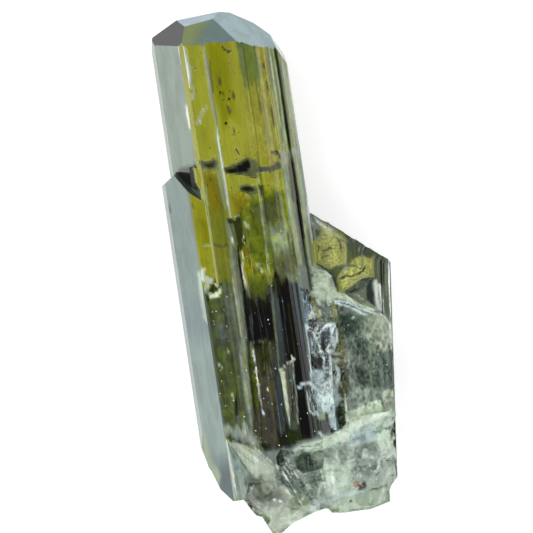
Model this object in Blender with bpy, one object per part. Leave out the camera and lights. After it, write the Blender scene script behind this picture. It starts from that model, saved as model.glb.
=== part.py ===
"""Epidote: two prismatic crystals grown together on a broken base, as one solid.

The specimen lies on its back. X runs across the crystals, Y along the main
crystal to its tip, and Z up, away from the flat back faces that it rests on.
The origin is on that flat back, near the middle of the main crystal.
Dimensions are in millimetres, and MM turns the finished solid into metres.
"""
import math

import bmesh
import bpy
from mathutils import Matrix, Vector, noise

MM = 0.001

# ---- main crystal -----------------------------------------------------------
FRONT_Z = 9.1            # broad front prism face above the flat back
PRISM_ANGLE = 64.6       # between the front prism face and the left one, degrees
LEFT_EDGE_X = -2.70      # upper edge of the left face, above the shoulder
LEFT_FOOT_X = -4.95      # lower edge of the left face, above the shoulder
EDGE_BEVEL = 0.32        # height of the narrow face along that upper edge
LOWER_EDGE_X = -3.80     # the same two edges on the wider growth below the shoulder
LOWER_FOOT_X = -5.85
LOWER_STEP = 0.17        # the wider growth lies this far behind the front face
BELOW_REST = -1.0        # everything is trimmed flat at Z 0 in the end
MAIN_END_Y = -18.9       # broken lower end of the main crystal
MAIN_TOP_Y = 27.0        # before the end faces are cut
SHOULDER_TOP_Y = 13.0    # before the shoulder is cut

# Cross-section of the main crystal above the shoulder, in X and Z, seen along Y
LEFT_DROP = (LEFT_EDGE_X - LEFT_FOOT_X) * math.tan(math.radians(PRISM_ANGLE))
LEFT_SIDE = [
    (-3.90, BELOW_REST), (-3.90, 0.0), (-4.90, 0.75), (-5.30, 1.90),
    (LEFT_FOOT_X, FRONT_Z - EDGE_BEVEL - LEFT_DROP), (LEFT_EDGE_X, FRONT_Z - EDGE_BEVEL),
    (-2.28, FRONT_Z - 0.05), (-2.20, FRONT_Z)]
RIGHT_SIDE = [           # the striated faces step down to the right-hand edge
    (2.90, FRONT_Z), (3.02, 8.85), (4.02, 8.78), (4.15, 8.52), (5.02, 8.12), (5.10, 7.92), (5.86, 7.42),
    (5.96, 6.92), (6.10, 6.95), (6.42, 6.70), (6.50, 6.35), (6.78, 5.75), (6.92, 5.00), (6.90, 3.60),
    (6.45, 2.10), (5.60, 0.80), (5.00, 0.0), (5.00, BELOW_REST)]
BACK_GROOVES = [         # striations of the back face
    (3.10, BELOW_REST), (3.05, 0.10), (2.45, 0.13), (2.40, BELOW_REST),
    (-0.90, BELOW_REST), (-0.95, 0.09), (-1.30, 0.12), (-1.35, BELOW_REST),
    (-2.60, BELOW_REST), (-2.65, 0.08), (-2.85, 0.10), (-2.90, BELOW_REST)]
UPPER_SECTION = LEFT_SIDE + RIGHT_SIDE + BACK_GROOVES
# The growth below the shoulder, which is wider on the left
LOWER_DROP = (LOWER_EDGE_X - LOWER_FOOT_X) * math.tan(math.radians(PRISM_ANGLE))
LOWER_SECTION = [
    (-4.50, 0.15), (-5.70, 0.90), (-6.20, 2.30),
    (LOWER_FOOT_X, FRONT_Z - EDGE_BEVEL - LOWER_DROP), (LOWER_EDGE_X, FRONT_Z - EDGE_BEVEL),
    (-3.62, FRONT_Z - LOWER_STEP), (-2.45, FRONT_Z - LOWER_STEP), (-2.30, FRONT_Z - 0.6),
    (0.0, 7.5), (0.0, 0.5)]

# End faces of the main crystal: a point on each face, and its outward normal
TERMINATION = {
    "basal": ((-1.90, 24.66, 7.55), (-0.05, 0.94, 0.34)),
    "left_corner": ((-1.90, 24.66, 7.55), (-0.69, 0.60, 0.41)),
    "front_dome": ((-2.40, 23.15, 9.00), (0.065, 0.682, 0.729)),
    "right_dome": ((0.76, 25.00, 7.00), (0.464, 0.754, 0.467)),
    "right_slope": ((5.50, 21.52, 7.80), (0.72, 0.52, 0.46)),
    "back": ((-0.36, 25.59, 5.30), (-0.05, 0.93, -0.37)),
    "back_right": ((3.52, 24.79, 4.70), (0.50, 0.80, -0.33)),
    "back_side": ((5.57, 22.98, 5.00), (0.74, 0.65, -0.18)),
    "right_tip": ((6.42, 21.18, 5.50), (0.93, 0.36, 0.10)),
    "left_tip": ((-4.80, 24.81, 4.20), (-0.46, 0.88, -0.12)),
    "left_side": ((-5.20, 23.90, 3.00), (-0.94, 0.31, -0.12)),
}
SHOULDER = {
    "outer": ((-5.39, 11.22, 3.0), (-0.61, 0.79, 0.05)),
    "inner": ((-4.70, 11.49, 5.5), (0.62, 0.74, 0.25)),
}
# The broken foot of the main crystal: its corner on the left
MAIN_FOOT = {
    "low": ((-4.27, -17.97, 4.0), (-0.64, -0.76, -0.10)),
    "high": ((-5.88, -14.90, 4.0), (-0.93, -0.36, -0.05)),
}
# What is broken out of its front at the foot: outline in X and Y, bottom and top
FOOT_BREAK = (
    [(-2.50, -24.0), (-2.55, -18.3), (-2.25, -17.4), (-1.0, -17.55), (0.15, -17.45), (0.62, -16.6),
     (0.55, -15.5), (1.05, -14.8), (2.10, -15.2), (3.0, -14.8), (5.0, -14.65), (6.2, -14.3),
     (8.5, -13.6), (9.0, -24.0)], 5.0, 12.0)

# Thin growth layers on the front face: how far each rises, and its outline in X and Y
LAYER_DEPTH = 1.5        # how deep a layer is rooted in the crystal
GROWTH_LAYERS = [
    (0.16, [(-2.28, 23.4), (-2.28, 12.6), (-1.95, 11.9), (-0.62, 11.3), (-0.46, 23.6)]),
    (0.26, [(-0.62, 23.6), (-0.66, 14.0), (-0.52, 6.9), (-0.28, 6.8), (-0.30, 14.0), (-0.36, 23.6)]),
    (0.10, [(0.95, 23.5), (1.05, 16.2), (1.30, 15.2), (1.75, 16.0), (1.70, 23.5)]),
    (0.14, [(2.30, 22.0), (2.35, 12.4), (2.70, 11.9), (3.05, 12.6), (3.05, 22.0)]),
    (0.17, [(-2.40, 8.6), (-2.30, 4.6), (-1.15, 4.2), (-1.05, 8.1), (-1.6, 8.9)]),
    (0.13, [(-3.25, -0.2), (-3.30, -9.6), (-2.60, -11.2), (-2.15, -9.0), (-2.20, 0.8)]),
    (0.15, [(0.90, 8.4), (2.62, 8.7), (2.50, 3.3), (2.05, -2.0), (1.90, -7.6), (1.35, -8.4), (0.95, -2.0)]),
    (0.18, [(-0.35, 3.6), (0.45, 3.4), (0.30, -3.0), (-0.10, -9.4), (-0.50, -13.4), (-0.70, -9.0)]),
    (0.12, [(1.00, -4.0), (1.60, -4.6), (1.40, -13.6), (0.70, -14.2), (0.60, -9.0)]),
]
# White sliver of a later crystal on the front face, and a cream flake at its lower left
SLIVER = (0.32, [(2.10, -7.76), (2.57, -7.73), (3.44, -6.84), (3.66, -7.24), (3.02, -9.40),
                 (2.10, -13.34), (1.98, -11.9)])
FLAKE = (0.38, [(-3.66, -13.03), (-2.51, -13.67), (-1.25, -14.6), (-0.22, -15.78), (0.49, -16.63),
                (0.11, -17.32), (-1.01, -17.34), (-2.07, -16.99), (-2.77, -15.4), (-3.40, -14.1)])

# Chips and pits: outline in X and Y, bottom and top of what is gone
CHIPS = {
    "shoulder_pocket": (
        [(-4.70, 11.49), (-4.18, 11.85), (-3.06, 11.86), (-2.55, 11.5), (-2.42, 10.7), (-2.62, 9.72),
         (-3.10, 9.86), (-3.62, 10.2), (-4.28, 10.7)], 7.3, 10.0),
    "front_chip": (
        [(-0.55, 6.62), (0.12, 6.72), (0.72, 7.10), (0.72, 5.90), (0.55, 5.05), (0.72, 4.35), (0.35, 3.48),
         (-0.10, 3.60), (-0.34, 4.90)], 8.72, 10.0),
    "dark_recess": (
        [(2.26, -15.97), (2.98, -15.52), (3.70, -15.62), (4.65, -15.48), (5.08, -15.83), (4.60, -17.30),
         (2.79, -17.44), (2.31, -16.90)], 5.0, 10.0),
    "hollow_under_flake": (
        [(-1.75, -17.62), (-0.20, -17.55), (0.10, -18.1), (-0.60, -19.2), (-2.0, -19.3)], 5.4, 10.0),
    "side_recess": (
        [(8.90, -1.40), (9.35, -0.72), (10.43, 0.20), (11.24, 0.02), (11.86, -0.72), (11.80, -2.37),
         (11.75, -3.2), (10.6, -2.8), (9.5, -2.1)], 3.9, 5.7),
}

# ---- side crystal -----------------------------------------------------------
SIDE_LEAN = 6.6                  # degrees that its axis turns from the main one
SIDE_EDGE = (12.08, -13.15)      # a point on its right-hand edge
SIDE_SECTION = [                 # across from that edge, and height
    (-2.20, BELOW_REST), (-2.20, 0.0), (-0.75, 0.55), (-0.05, 1.90), (0.0, 2.90), (-0.30, 3.35),
    (-0.36, 3.75), (-0.85, 4.45), (-1.00, 4.45), (-1.45, 5.02), (-2.60, 5.10), (-2.72, 4.98),
    (-4.10, 5.04), (-4.20, 5.20), (-5.60, 5.20), (-7.60, 5.10), (-9.00, 4.60), (-9.00, BELOW_REST)]
SIDE_LENGTH = (-8.6, 22.0)       # along its axis, from SIDE_EDGE
SIDE_FACES = {
    "top": ((13.67, 0.56, 3.0), (0.615, 0.74, 0.22)),
    "top_back": ((13.67, 0.56, 3.0), (0.55, 0.70, -0.45)),
    "top_bevel": ((11.00, 2.15, 5.1), (0.40, 0.60, 0.69)),
    "foot": ((10.9, -19.5, 2.0), (0.62, -0.78, -0.05)),
    "foot_low": ((10.4, -21.0, 2.0), (-0.12, -0.98, -0.18)),
}

# ---- broken blocks and base -------------------------------------------------
# outline    corners in X and Y
# top, tilt  a point on the mean plane of the top, and its rise for each mm along X and Y
# rim        width and depth of the chamfer around the top
# relief     height of the roughness, and stretch, how much longer it is along Y
# cell       spacing of the facets along X and Y
# bottom     height of the underside, which is smaller than the top by undercut
# wall       how far the side walls step in and out
LUMPS = {
    "pale_block": dict(
        outline=[(7.9, -1.9), (8.36, -1.34), (9.04, -1.72), (10.27, -2.84), (11.57, -3.50), (12.23, -4.06),
                 (12.62, -4.96), (12.50, -7.6), (12.15, -10.2), (11.95, -12.9), (8.2, -13.9), (7.25, -13.95),
                 (7.70, -10.6), (8.05, -7.5), (7.60, -6.2)],
        top=(9.0, -7.0, 6.85), tilt=(-0.10, 0.01), rim=0.45, relief=0.13, cell=(0.75, 2.9),
        bottom=2.2, seed=11, stretch=5.0),
    "upper_block": dict(
        outline=[(5.2, 1.55), (6.41, 1.18), (7.54, 0.64), (8.20, 0.08), (8.36, -1.34), (8.3, -3.4),
                 (7.9, -4.6), (5.6, -4.9), (5.0, -2.0)],
        top=(7.0, -1.5, 6.95), tilt=(-0.10, -0.06), rim=0.42, relief=0.12, cell=(0.8, 1.6),
        bottom=3.0, seed=15, stretch=3.0),
    "inner_strip": dict(
        outline=[(4.8, -3.5), (8.5, -2.6), (8.4, -8.0), (8.0, -13.6), (4.8, -14.4)],
        top=(6.6, -8.0, 6.15), tilt=(-0.05, 0.02), rim=0.2, relief=0.15, cell=(0.7, 2.4),
        bottom=2.6, seed=19, stretch=4.0),
    "frosted_rib": dict(
        outline=[(4.9, -0.2), (5.75, -0.8), (6.15, -2.6), (6.6, -3.6), (7.9, -4.2), (7.35, -5.2),
                 (6.95, -6.6), (6.70, -9.0), (6.55, -11.2), (6.4, -13.9), (5.5, -13.6), (4.9, -12.0),
                 (4.6, -9.5), (4.75, -4.4)],
        top=(5.8, -7.0, 7.70), tilt=(-0.30, 0.0), rim=0.25, relief=0.36, cell=(0.55, 0.75),
        bottom=4.0, seed=23),
    "ledge": dict(
        outline=[(2.1, -14.9), (3.0, -14.45), (5.0, -14.3), (6.7, -13.95), (7.7, -13.2), (9.2, -12.9),
                 (11.0, -12.95), (12.04, -12.75), (12.04, -13.35), (11.6, -14.3), (9.2, -14.45),
                 (7.6, -14.9), (6.3, -15.45), (4.7, -15.5), (3.2, -15.45), (2.3, -15.6)],
        top=(7.0, -14.2, 7.40), tilt=(-0.16, 0.12), rim=0.30, relief=0.14, cell=(0.9, 0.7),
        bottom=2.0, undercut=0.03, seed=37),
    "base": dict(
        outline=[(1.0, -14.2), (6.0, -14.0), (11.7, -13.3), (11.77, -13.67), (11.43, -15.66),
                 (11.31, -17.04), (11.24, -18.8), (10.47, -20.17), (10.40, -21.28), (8.38, -21.72),
                 (6.07, -21.65), (4.88, -21.52), (4.57, -21.06), (4.30, -21.01), (3.05, -21.29),
                 (1.88, -21.4), (0.6, -21.2), (-1.2, -20.4), (-2.6, -19.0), (-3.0, -17.6), (-1.6, -16.4)],
        top=(5.0, -18.0, 5.75), tilt=(-0.07, 0.26), rim=0.45, relief=0.30, cell=(0.85, 0.8),
        bottom=0.5, undercut=0.08, seed=41, wall=0.5),
    "tip": dict(
        outline=[(-3.3, -17.9), (0.0, -16.6), (2.6, -16.9), (4.2, -19.0), (4.25, -21.0), (3.05, -21.29),
                 (1.88, -21.68), (1.29, -21.87), (0.15, -22.63), (-0.46, -23.05), (-0.85, -22.48),
                 (-1.55, -20.98), (-2.07, -20.71), (-2.52, -19.99), (-3.02, -18.99)],
        top=(0.3, -20.0, 5.3), tilt=(0.02, 0.42), rim=0.5, relief=0.2, cell=(0.8, 0.8),
        bottom=1.3, undercut=0.06, seed=53, wall=0.4),
    "grey_hump": dict(
        outline=[(5.8, -15.4), (7.6, -14.5), (11.45, -13.8), (11.35, -16.1), (10.3, -16.9), (9.9, -18.2),
                 (8.6, -17.7), (7.3, -18.1), (6.3, -17.2), (5.6, -16.6)],
        top=(8.6, -16.0, 6.45), tilt=(-0.18, 0.16), rim=0.5, relief=0.36, cell=(0.6, 0.6),
        bottom=3.0, seed=67),
    "left_crust": dict(
        outline=[(-5.2, -12.0), (-5.84, -12.4), (-6.08, -13.7), (-5.75, -15.6), (-5.10, -16.92),
                 (-4.5, -16.6), (-4.7, -14.0)],
        top=(-5.4, -14.6, 4.6), tilt=(0.5, 0.0), rim=0.2, relief=0.2, cell=(0.5, 0.7),
        bottom=1.4, undercut=0.1, seed=71),
}
# Small clear crystal lying across the base: its two ends, and its cross-section
SMALL_ENDS = ((0.80, -15.95, 7.35), (2.75, -20.35, 6.10))
SMALL_SECTION = [(-0.50, -1.4), (-0.50, 0.45), (-0.28, 0.72), (0.26, 0.72), (0.50, 0.40), (0.50, -1.4)]
SMALL_END_FACE = ((0.0, -0.25, 0.7), (0.35, 0.75, 0.55))     # from its upper end
# Dark grain held in the base
GRAIN_RADIUS = 0.30
GRAIN_AT = (7.89, -19.41, 5.05)
# The level that the solid is trimmed to, wider than the solid
TABLE = [(-40.0, -40.0), (40.0, -40.0), (40.0, 40.0), (-40.0, 40.0)]

# ---- the finished solid -----------------------------------------------------
MERGE = 0.002            # closer points are one point
FLAT_ANGLE = 0.2         # faces closer than this to one plane are one face, degrees
OLIVE = (0.24, 0.25, 0.03, 1.0)


def remove_scene_objects():
    """Start from an empty scene."""
    for old in list(bpy.data.objects):
        bpy.data.objects.remove(old, do_unlink=True)


def new_object(name, bm):
    """Object that holds the mesh bm, with its faces pointing out."""
    bmesh.ops.recalc_face_normals(bm, faces=bm.faces)
    mesh = bpy.data.meshes.new(name)
    bm.to_mesh(mesh)
    bm.free()
    obj = bpy.data.objects.new(name, mesh)
    bpy.context.scene.collection.objects.link(obj)
    return obj


def prism_along_y(section, y_low, y_high):
    """Prism with its section in X and Z, from y_low to y_high."""
    bm = bmesh.new()
    face = bm.faces.new([bm.verts.new((x, y_low, z)) for x, z in section])
    grown = bmesh.ops.extrude_face_region(bm, geom=[face])
    top = [v for v in grown["geom"] if isinstance(v, bmesh.types.BMVert)]
    bmesh.ops.translate(bm, verts=top, vec=(0.0, y_high - y_low, 0.0))
    return bm


def plate(outline, z_low, z_high):
    """Plate with its outline in X and Y, from z_low to z_high."""
    bm = bmesh.new()
    face = bm.faces.new([bm.verts.new((x, y, z_low)) for x, y in outline])
    grown = bmesh.ops.extrude_face_region(bm, geom=[face])
    top = [v for v in grown["geom"] if isinstance(v, bmesh.types.BMVert)]
    bmesh.ops.translate(bm, verts=top, vec=(0.0, 0.0, z_high - z_low))
    return bm


def cut(bm, point, normal):
    """Cut away what lies outside a plane, and close the solid with a flat face."""
    everything = bm.verts[:] + bm.edges[:] + bm.faces[:]
    done = bmesh.ops.bisect_plane(
        bm, geom=everything, plane_co=point, plane_no=Vector(normal).normalized(),
        dist=1e-5, clear_outer=True)
    rim = [e for e in done["geom_cut"] if isinstance(e, bmesh.types.BMEdge)]
    if rim:
        bmesh.ops.contextual_create(bm, geom=rim)


def cut_all(bm, faces):
    """Cut each of the named faces in turn."""
    for point, normal in faces.values():
        cut(bm, point, normal)


def roughness(x, y, relief, stretch, seed):
    """Height of a broken surface above its mean; stretch draws it out along Y."""
    coarse = noise.noise(Vector((0.45 * x, 0.45 * y / stretch, seed)))
    fine = noise.noise(Vector((1.3 * x, 1.3 * y / stretch, seed + 5.0)))
    return relief * (1.3 * coarse + 0.9 * fine)


def grid_cuts(bm, outline, cell, seed):
    """Divide a flat sheet by uneven lines across X and across Y."""
    for axis in (0, 1):
        low = min(p[axis] for p in outline)
        high = max(p[axis] for p in outline)
        for i in range(1, int((high - low) / cell[axis]) + 1):
            at = Vector((0.0, 0.0, 0.0))
            across = Vector((0.0, 0.0, 0.0))
            at[axis] = low + cell[axis] * (i + 0.2 * math.sin(7.0 * i + seed))
            across[axis] = 1.0
            across[1 - axis] = 0.12 * math.sin(3.0 * i + seed)
            bmesh.ops.bisect_plane(
                bm, geom=bm.verts[:] + bm.edges[:] + bm.faces[:], plane_co=at,
                plane_no=across.normalized(), dist=0.02)


def break_walls(bm, low, high, centre, amount, seed):
    """Step the side walls of a lump in and out at two heights below its rim."""
    for part in (0.36, 0.70):
        level = low + part * (high - low)
        made = bmesh.ops.bisect_plane(
            bm, geom=bm.verts[:] + bm.edges[:] + bm.faces[:], plane_co=(0.0, 0.0, level),
            plane_no=(0.0, 0.0, 1.0), dist=1e-4)
        for v in (g for g in made["geom_cut"] if isinstance(g, bmesh.types.BMVert)):
            step = noise.noise(Vector((0.7 * v.co.x, 0.7 * v.co.y, seed + 9.0 * part)))
            inward = (centre - v.co).normalized()
            v.co += Vector((inward.x, inward.y, 0.0)) * amount * (0.3 + step)
            v.co.z += 0.3 * amount * step


def lump(outline, top, tilt, rim, relief, cell, bottom, seed, undercut=0.0, stretch=1.0, wall=0.0):
    """Broken lump: its outline, a chamfered rim, and a rough and tilted top."""
    bm = bmesh.new()
    sheet = bm.faces.new([bm.verts.new((x, y, bottom)) for x, y in outline])
    bmesh.ops.inset_region(bm, faces=[sheet], thickness=rim, use_even_offset=False)
    grid_cuts(bm, outline, cell, seed)
    rim_places = {(round(v.co.x, 4), round(v.co.y, 4)) for v in bm.verts if v.is_boundary}
    grown = bmesh.ops.extrude_face_region(bm, geom=bm.faces[:])
    upper = {v for v in grown["geom"] if isinstance(v, bmesh.types.BMVert)}
    centre = Vector((top[0], top[1], bottom))
    for v in bm.verts:
        x, y, _ = v.co
        if v in upper:
            v.co.z = top[2] + tilt[0] * (x - top[0]) + tilt[1] * (y - top[1])
            v.co.z += roughness(x, y, relief, stretch, seed)
            if (round(x, 4), round(y, 4)) in rim_places:
                v.co.z -= rim
        else:
            v.co = centre + (v.co - centre) * (1.0 - undercut)
    bmesh.ops.triangulate(bm, faces=bm.faces)
    if wall:
        break_walls(bm, bottom, min(v.co.z for v in upper), centre, wall, seed)
        bmesh.ops.triangulate(bm, faces=bm.faces)
    return bm


def side_prism():
    """The side crystal: a prism along its own, leaning axis, with its end faces."""
    bm = prism_along_y(SIDE_SECTION, *SIDE_LENGTH)
    turn = Matrix.Rotation(math.radians(-SIDE_LEAN), 4, "Z")
    place = Matrix.Translation((SIDE_EDGE[0], SIDE_EDGE[1], 0.0))
    bmesh.ops.transform(bm, matrix=place @ turn, verts=bm.verts)
    cut_all(bm, SIDE_FACES)
    return bm


def small_prism():
    """The small clear crystal that lies across the base."""
    low, high = (Vector(p) for p in SMALL_ENDS)
    along = low - high
    bm = prism_along_y(SMALL_SECTION, 0.0, along.length)
    cut(bm, Vector((0.0, along.length, 0.0)) + Vector(SMALL_END_FACE[0]), SMALL_END_FACE[1])
    turn = along.to_track_quat("Y", "Z").to_matrix().to_4x4()
    bmesh.ops.transform(bm, matrix=Matrix.Translation(high) @ turn, verts=bm.verts)
    return bm


def grain():
    """Dark rounded grain, half sunk in the base."""
    bm = bmesh.new()
    bmesh.ops.create_icosphere(bm, subdivisions=1, radius=GRAIN_RADIUS)
    bmesh.ops.translate(bm, verts=bm.verts, vec=GRAIN_AT)
    return bm


def boolean(body, tool, operation):
    """Join the tool to the body, or cut it away, and drop the tool."""
    step = body.modifiers.new(operation.lower(), "BOOLEAN")
    step.operation = operation
    step.solver = "EXACT"
    step.object = tool
    bpy.context.view_layer.update()
    evaluated = body.evaluated_get(bpy.context.evaluated_depsgraph_get())
    result = bpy.data.meshes.new_from_object(evaluated)
    body.modifiers.clear()
    body.data = result
    bpy.data.objects.remove(tool, do_unlink=True)


def grow_on_front(body, layer):
    """Add a thin layer to the front face, ended by the same end faces as the crystal."""
    rise, outline = layer
    bm = plate(outline, FRONT_Z - LAYER_DEPTH, FRONT_Z + rise)
    cut(bm, *TERMINATION["front_dome"])
    cut(bm, *TERMINATION["right_dome"])
    boolean(body, new_object("layer", bm), "UNION")


def main_crystal():
    """The main crystal with its growth layers, its shoulder and its broken foot."""
    upper = prism_along_y(UPPER_SECTION, MAIN_END_Y, MAIN_TOP_Y)
    cut_all(upper, TERMINATION)
    cut_all(upper, MAIN_FOOT)
    lower = prism_along_y(LOWER_SECTION, MAIN_END_Y, SHOULDER_TOP_Y)
    cut_all(lower, SHOULDER)
    cut_all(lower, MAIN_FOOT)
    body = new_object("epidote_cluster", upper)
    boolean(body, new_object("lower_growth", lower), "UNION")
    for layer in GROWTH_LAYERS:
        grow_on_front(body, layer)
    boolean(body, new_object("foot_break", plate(*FOOT_BREAK)), "DIFFERENCE")
    return body


def finish(body):
    """Merge what coincides, join coplanar faces, turn the solid into metres."""
    bm = bmesh.new()
    bm.from_mesh(body.data)
    bmesh.ops.remove_doubles(bm, verts=bm.verts, dist=MERGE)
    bmesh.ops.dissolve_degenerate(bm, edges=bm.edges, dist=MERGE)
    bmesh.ops.dissolve_limit(
        bm, angle_limit=math.radians(FLAT_ANGLE), verts=bm.verts, edges=bm.edges)
    bmesh.ops.triangulate(bm, faces=bm.faces)
    bmesh.ops.scale(bm, vec=(MM, MM, MM), verts=bm.verts)
    bmesh.ops.recalc_face_normals(bm, faces=bm.faces)
    bm.to_mesh(body.data)
    bm.free()


def epidote_material():
    """Glassy yellow-olive."""
    material = bpy.data.materials.new("epidote")
    material.use_nodes = True
    shader = material.node_tree.nodes["Principled BSDF"]
    shader.inputs["Base Color"].default_value = OLIVE
    shader.inputs["Roughness"].default_value = 0.12
    shader.inputs["Metallic"].default_value = 0.0
    return material


def build():
    """Grow the crystals together, break their foot, and lay the solid flat."""
    remove_scene_objects()
    body = main_crystal()
    boolean(body, new_object("side_crystal", side_prism()), "UNION")
    for name, shape in LUMPS.items():
        boolean(body, new_object(name, lump(**shape)), "UNION")
    grow_on_front(body, SLIVER)
    grow_on_front(body, FLAKE)
    boolean(body, new_object("small_crystal", small_prism()), "UNION")
    for name, (outline, low, high) in CHIPS.items():
        boolean(body, new_object(name, plate(outline, low, high)), "DIFFERENCE")
    boolean(body, new_object("grain", grain()), "UNION")
    boolean(body, new_object("below_rest", plate(TABLE, -10.0, 0.0)), "DIFFERENCE")
    finish(body)
    body.data.materials.clear()
    body.data.materials.append(epidote_material())


build()
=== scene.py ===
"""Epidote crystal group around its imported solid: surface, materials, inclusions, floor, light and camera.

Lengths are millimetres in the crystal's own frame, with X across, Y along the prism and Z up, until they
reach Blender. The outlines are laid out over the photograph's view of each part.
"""
import math
import random

import bmesh
import bpy
import numpy as np
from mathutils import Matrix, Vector, noise
from mathutils.bvhtree import BVHTree


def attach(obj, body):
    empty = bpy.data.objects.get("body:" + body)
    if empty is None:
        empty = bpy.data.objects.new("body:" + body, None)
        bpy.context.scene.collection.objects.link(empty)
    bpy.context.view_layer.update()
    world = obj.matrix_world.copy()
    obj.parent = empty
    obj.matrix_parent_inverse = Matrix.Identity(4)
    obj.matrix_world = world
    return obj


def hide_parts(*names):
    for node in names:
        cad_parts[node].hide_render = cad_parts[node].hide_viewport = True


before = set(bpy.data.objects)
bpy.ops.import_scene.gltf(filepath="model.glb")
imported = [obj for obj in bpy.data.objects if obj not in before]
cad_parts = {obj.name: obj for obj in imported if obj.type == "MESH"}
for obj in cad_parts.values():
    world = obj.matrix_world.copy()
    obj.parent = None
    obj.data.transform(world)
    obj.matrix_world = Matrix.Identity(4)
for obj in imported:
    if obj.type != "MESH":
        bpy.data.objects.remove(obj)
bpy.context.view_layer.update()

MM = 0.001
NODE = "epidote_cluster"

# ---- photograph's view ------------------------------------------------------
PHOTO_SIDE = 533              # pixels
PIXEL = 0.092                 # what one of them spans at the middle of the view
VIEW_CENTRE = (2.276, 1.846, 5.0)
VIEW_HEIGHT = 450.0           # camera above that point
VIEW_TURN = -8.5              # the prism leans this far in the frame, degrees
SENSOR = 36.0


def points(text):
    """Points from a text such as "1.5,2 3,4.5"."""
    return [tuple(float(number) for number in pair.split(",")) for pair in text.split()]


def rows_of(table):
    """A table's rows, with the points of those that give them as text."""
    return [(name, width, points(line) if isinstance(line, str) else line) for name, width, line in table]


# ---- outlines of the parts, seen from above ---------------------------------
# The broken and intergrown part: everything in it is rough
ROUGH_AREA = points("5,1.2 6.41,1.25 7.54,0.7 8.25,0.1 8.36,-1.3 9.04,-1.7 10.27,-2.8 11.57,-3.45 "
                    "12.23,-4 12.8,-4.9 12.6,-13 13,-23.5 -3,-23.5 -3.1,-17.4 -2.2,-16 -1.2,-14.8 "
                    "2.2,-14.9 3,-14.5 4.8,-14.3 4.6,-9.5 4.8,-4.4 4.9,-0.2")
FLAKE = points("-3.8,-13.35 -3.3,-13.6 -2,-14.15 -1.1,-14.55 -0.45,-15.35 0.15,-16.05 0.38,-16.6 0,-17.05 "
               "-0.9,-17.2 -1.6,-17.1 -2,-16.6 -2.45,-15.8 -3.1,-14.5")
SMALL_CRYSTAL = points("0.7,-16 0.95,-15.75 1.6,-15.8 2.45,-17.8 2.75,-18.6 1.75,-18.9 0.95,-17.6 "
                       "0.55,-16.7")
BLOCK = points("8.3,-1.3 9.04,-1.7 10.27,-2.8 11.57,-3.4 12.3,-4 12.8,-4.9 12.6,-13 8.2,-13.9 7.2,-13.9 "
               "7.7,-10.6 8.05,-7.5 7.6,-6.2 8,-3.4")
UPPER_BLOCK = points("5.2,1.6 6.41,1.2 7.54,0.7 8.25,0.1 8.4,-1.3 8.2,-3.4 7.9,-4.6 6.6,-4.4 5.9,-2 "
                     "5.2,-0.2")
FROST = points("5,-0.6 5.5,-0.9 5.95,-2 6.1,-3.4 6.3,-4.3 7.1,-4.1 7.7,-4.2 7.85,-5.2 7.55,-6.4 7.15,-7 "
               "7.1,-8 7.5,-8.6 7.4,-9.5 7.2,-11.3 6.65,-12.3 6.85,-14.1 6.2,-14.3 5.8,-12.5 4.5,-12.4 "
               "4.15,-11.9 4.2,-9.9 4.6,-9.4 4.85,-7 4.95,-4.2")
LEDGE = points("2.1,-15.2 3.1,-14.85 5,-14.6 6.9,-14 8,-13.6 9.2,-13.2 11.8,-12.75 11.6,-13.4 9.6,-13.75 "
               "8,-14.3 6.6,-15.2 5,-15.55 3.9,-15.75 3,-15.5 2.5,-15.75")
BASE = points("1,-15.6 4.7,-15.5 7.6,-14.3 9.6,-13.6 12.4,-13.1 12.6,-22.5 3,-22.5 3.2,-20.2 2.5,-17.9")
TIP = points("-3.4,-17.2 -1,-17.3 0.5,-16.9 0.9,-18 2.1,-20.5 3.2,-20.2 3.4,-23.5 -3.4,-23.5")
SLAB = points("4.3,-20.2 7,-19.6 9.2,-18.8 11.4,-17.8 11.4,-21.6 4.2,-22.2")
MISTY = points("2.8,5.6 4.8,5.6 4.9,3.2 4.3,2.4 3.1,3")
DARK_SPOT = points("-6.06,8.63 -5.68,8.66 -5.62,8.1 -6.02,7.98")
# The golden windows of the side crystal
SIDE_WINDOWS = [
    points("6.8,3.5 7.3,3.7 7.82,4.55 8.1,4.75 8.6,4.45 9.25,3.85 9.75,3.3 9.85,2.3 9.7,1.5 9.55,0.95 "
           "9.1,0.8 8.7,0.95 8.1,0.75 7.5,1 6.9,1.3 6.65,1.6 6.7,2.5"),
    points("8.58,-0.03 9.1,0.5 9.6,0.65 10.4,1.4 11.1,1.65 11.6,1.25 12.14,1.2 11.95,-0.6 11.2,-0.52 "
           "10.66,-0.62 9.93,-1.01 9,-1.52 8.46,-1.3 8.38,-0.5"),
]
# Where the steps between the simple plates of the base are evened out
EVENED = [
    points("4.6,-20.3 7,-19.7 9.2,-18.7 10.8,-18.2 10,-20 10,-20.8 8.4,-21.2 6.1,-21.2 5,-21"),
    points("-2.6,-18.2 -1,-17.6 0.4,-17.3 0.9,-18 2.1,-20.2 3,-20.1 1.8,-21.1 0.1,-22 -0.5,-22.3 "
           "-1.1,-20.8 -1.9,-20.1 -2.4,-19.3"),
]
# Where the clear crystal is blotchy inside, and where broken crystal is smooth
BLOTCHED = [
    MISTY,
    points("-3.6,1 -1.1,1.2 -1,-4.6 -1.6,-12.2 -3.6,-12.3"),
    points("0.3,8.9 4.9,9.2 4.9,1 0.3,0.4"),
    points("-0.8,-5.2 2,-5.2 1.6,-14.6 -0.9,-14.2"),
]
CALM = [FLAKE, SMALL_CRYSTAL, TIP, SLAB]
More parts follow.
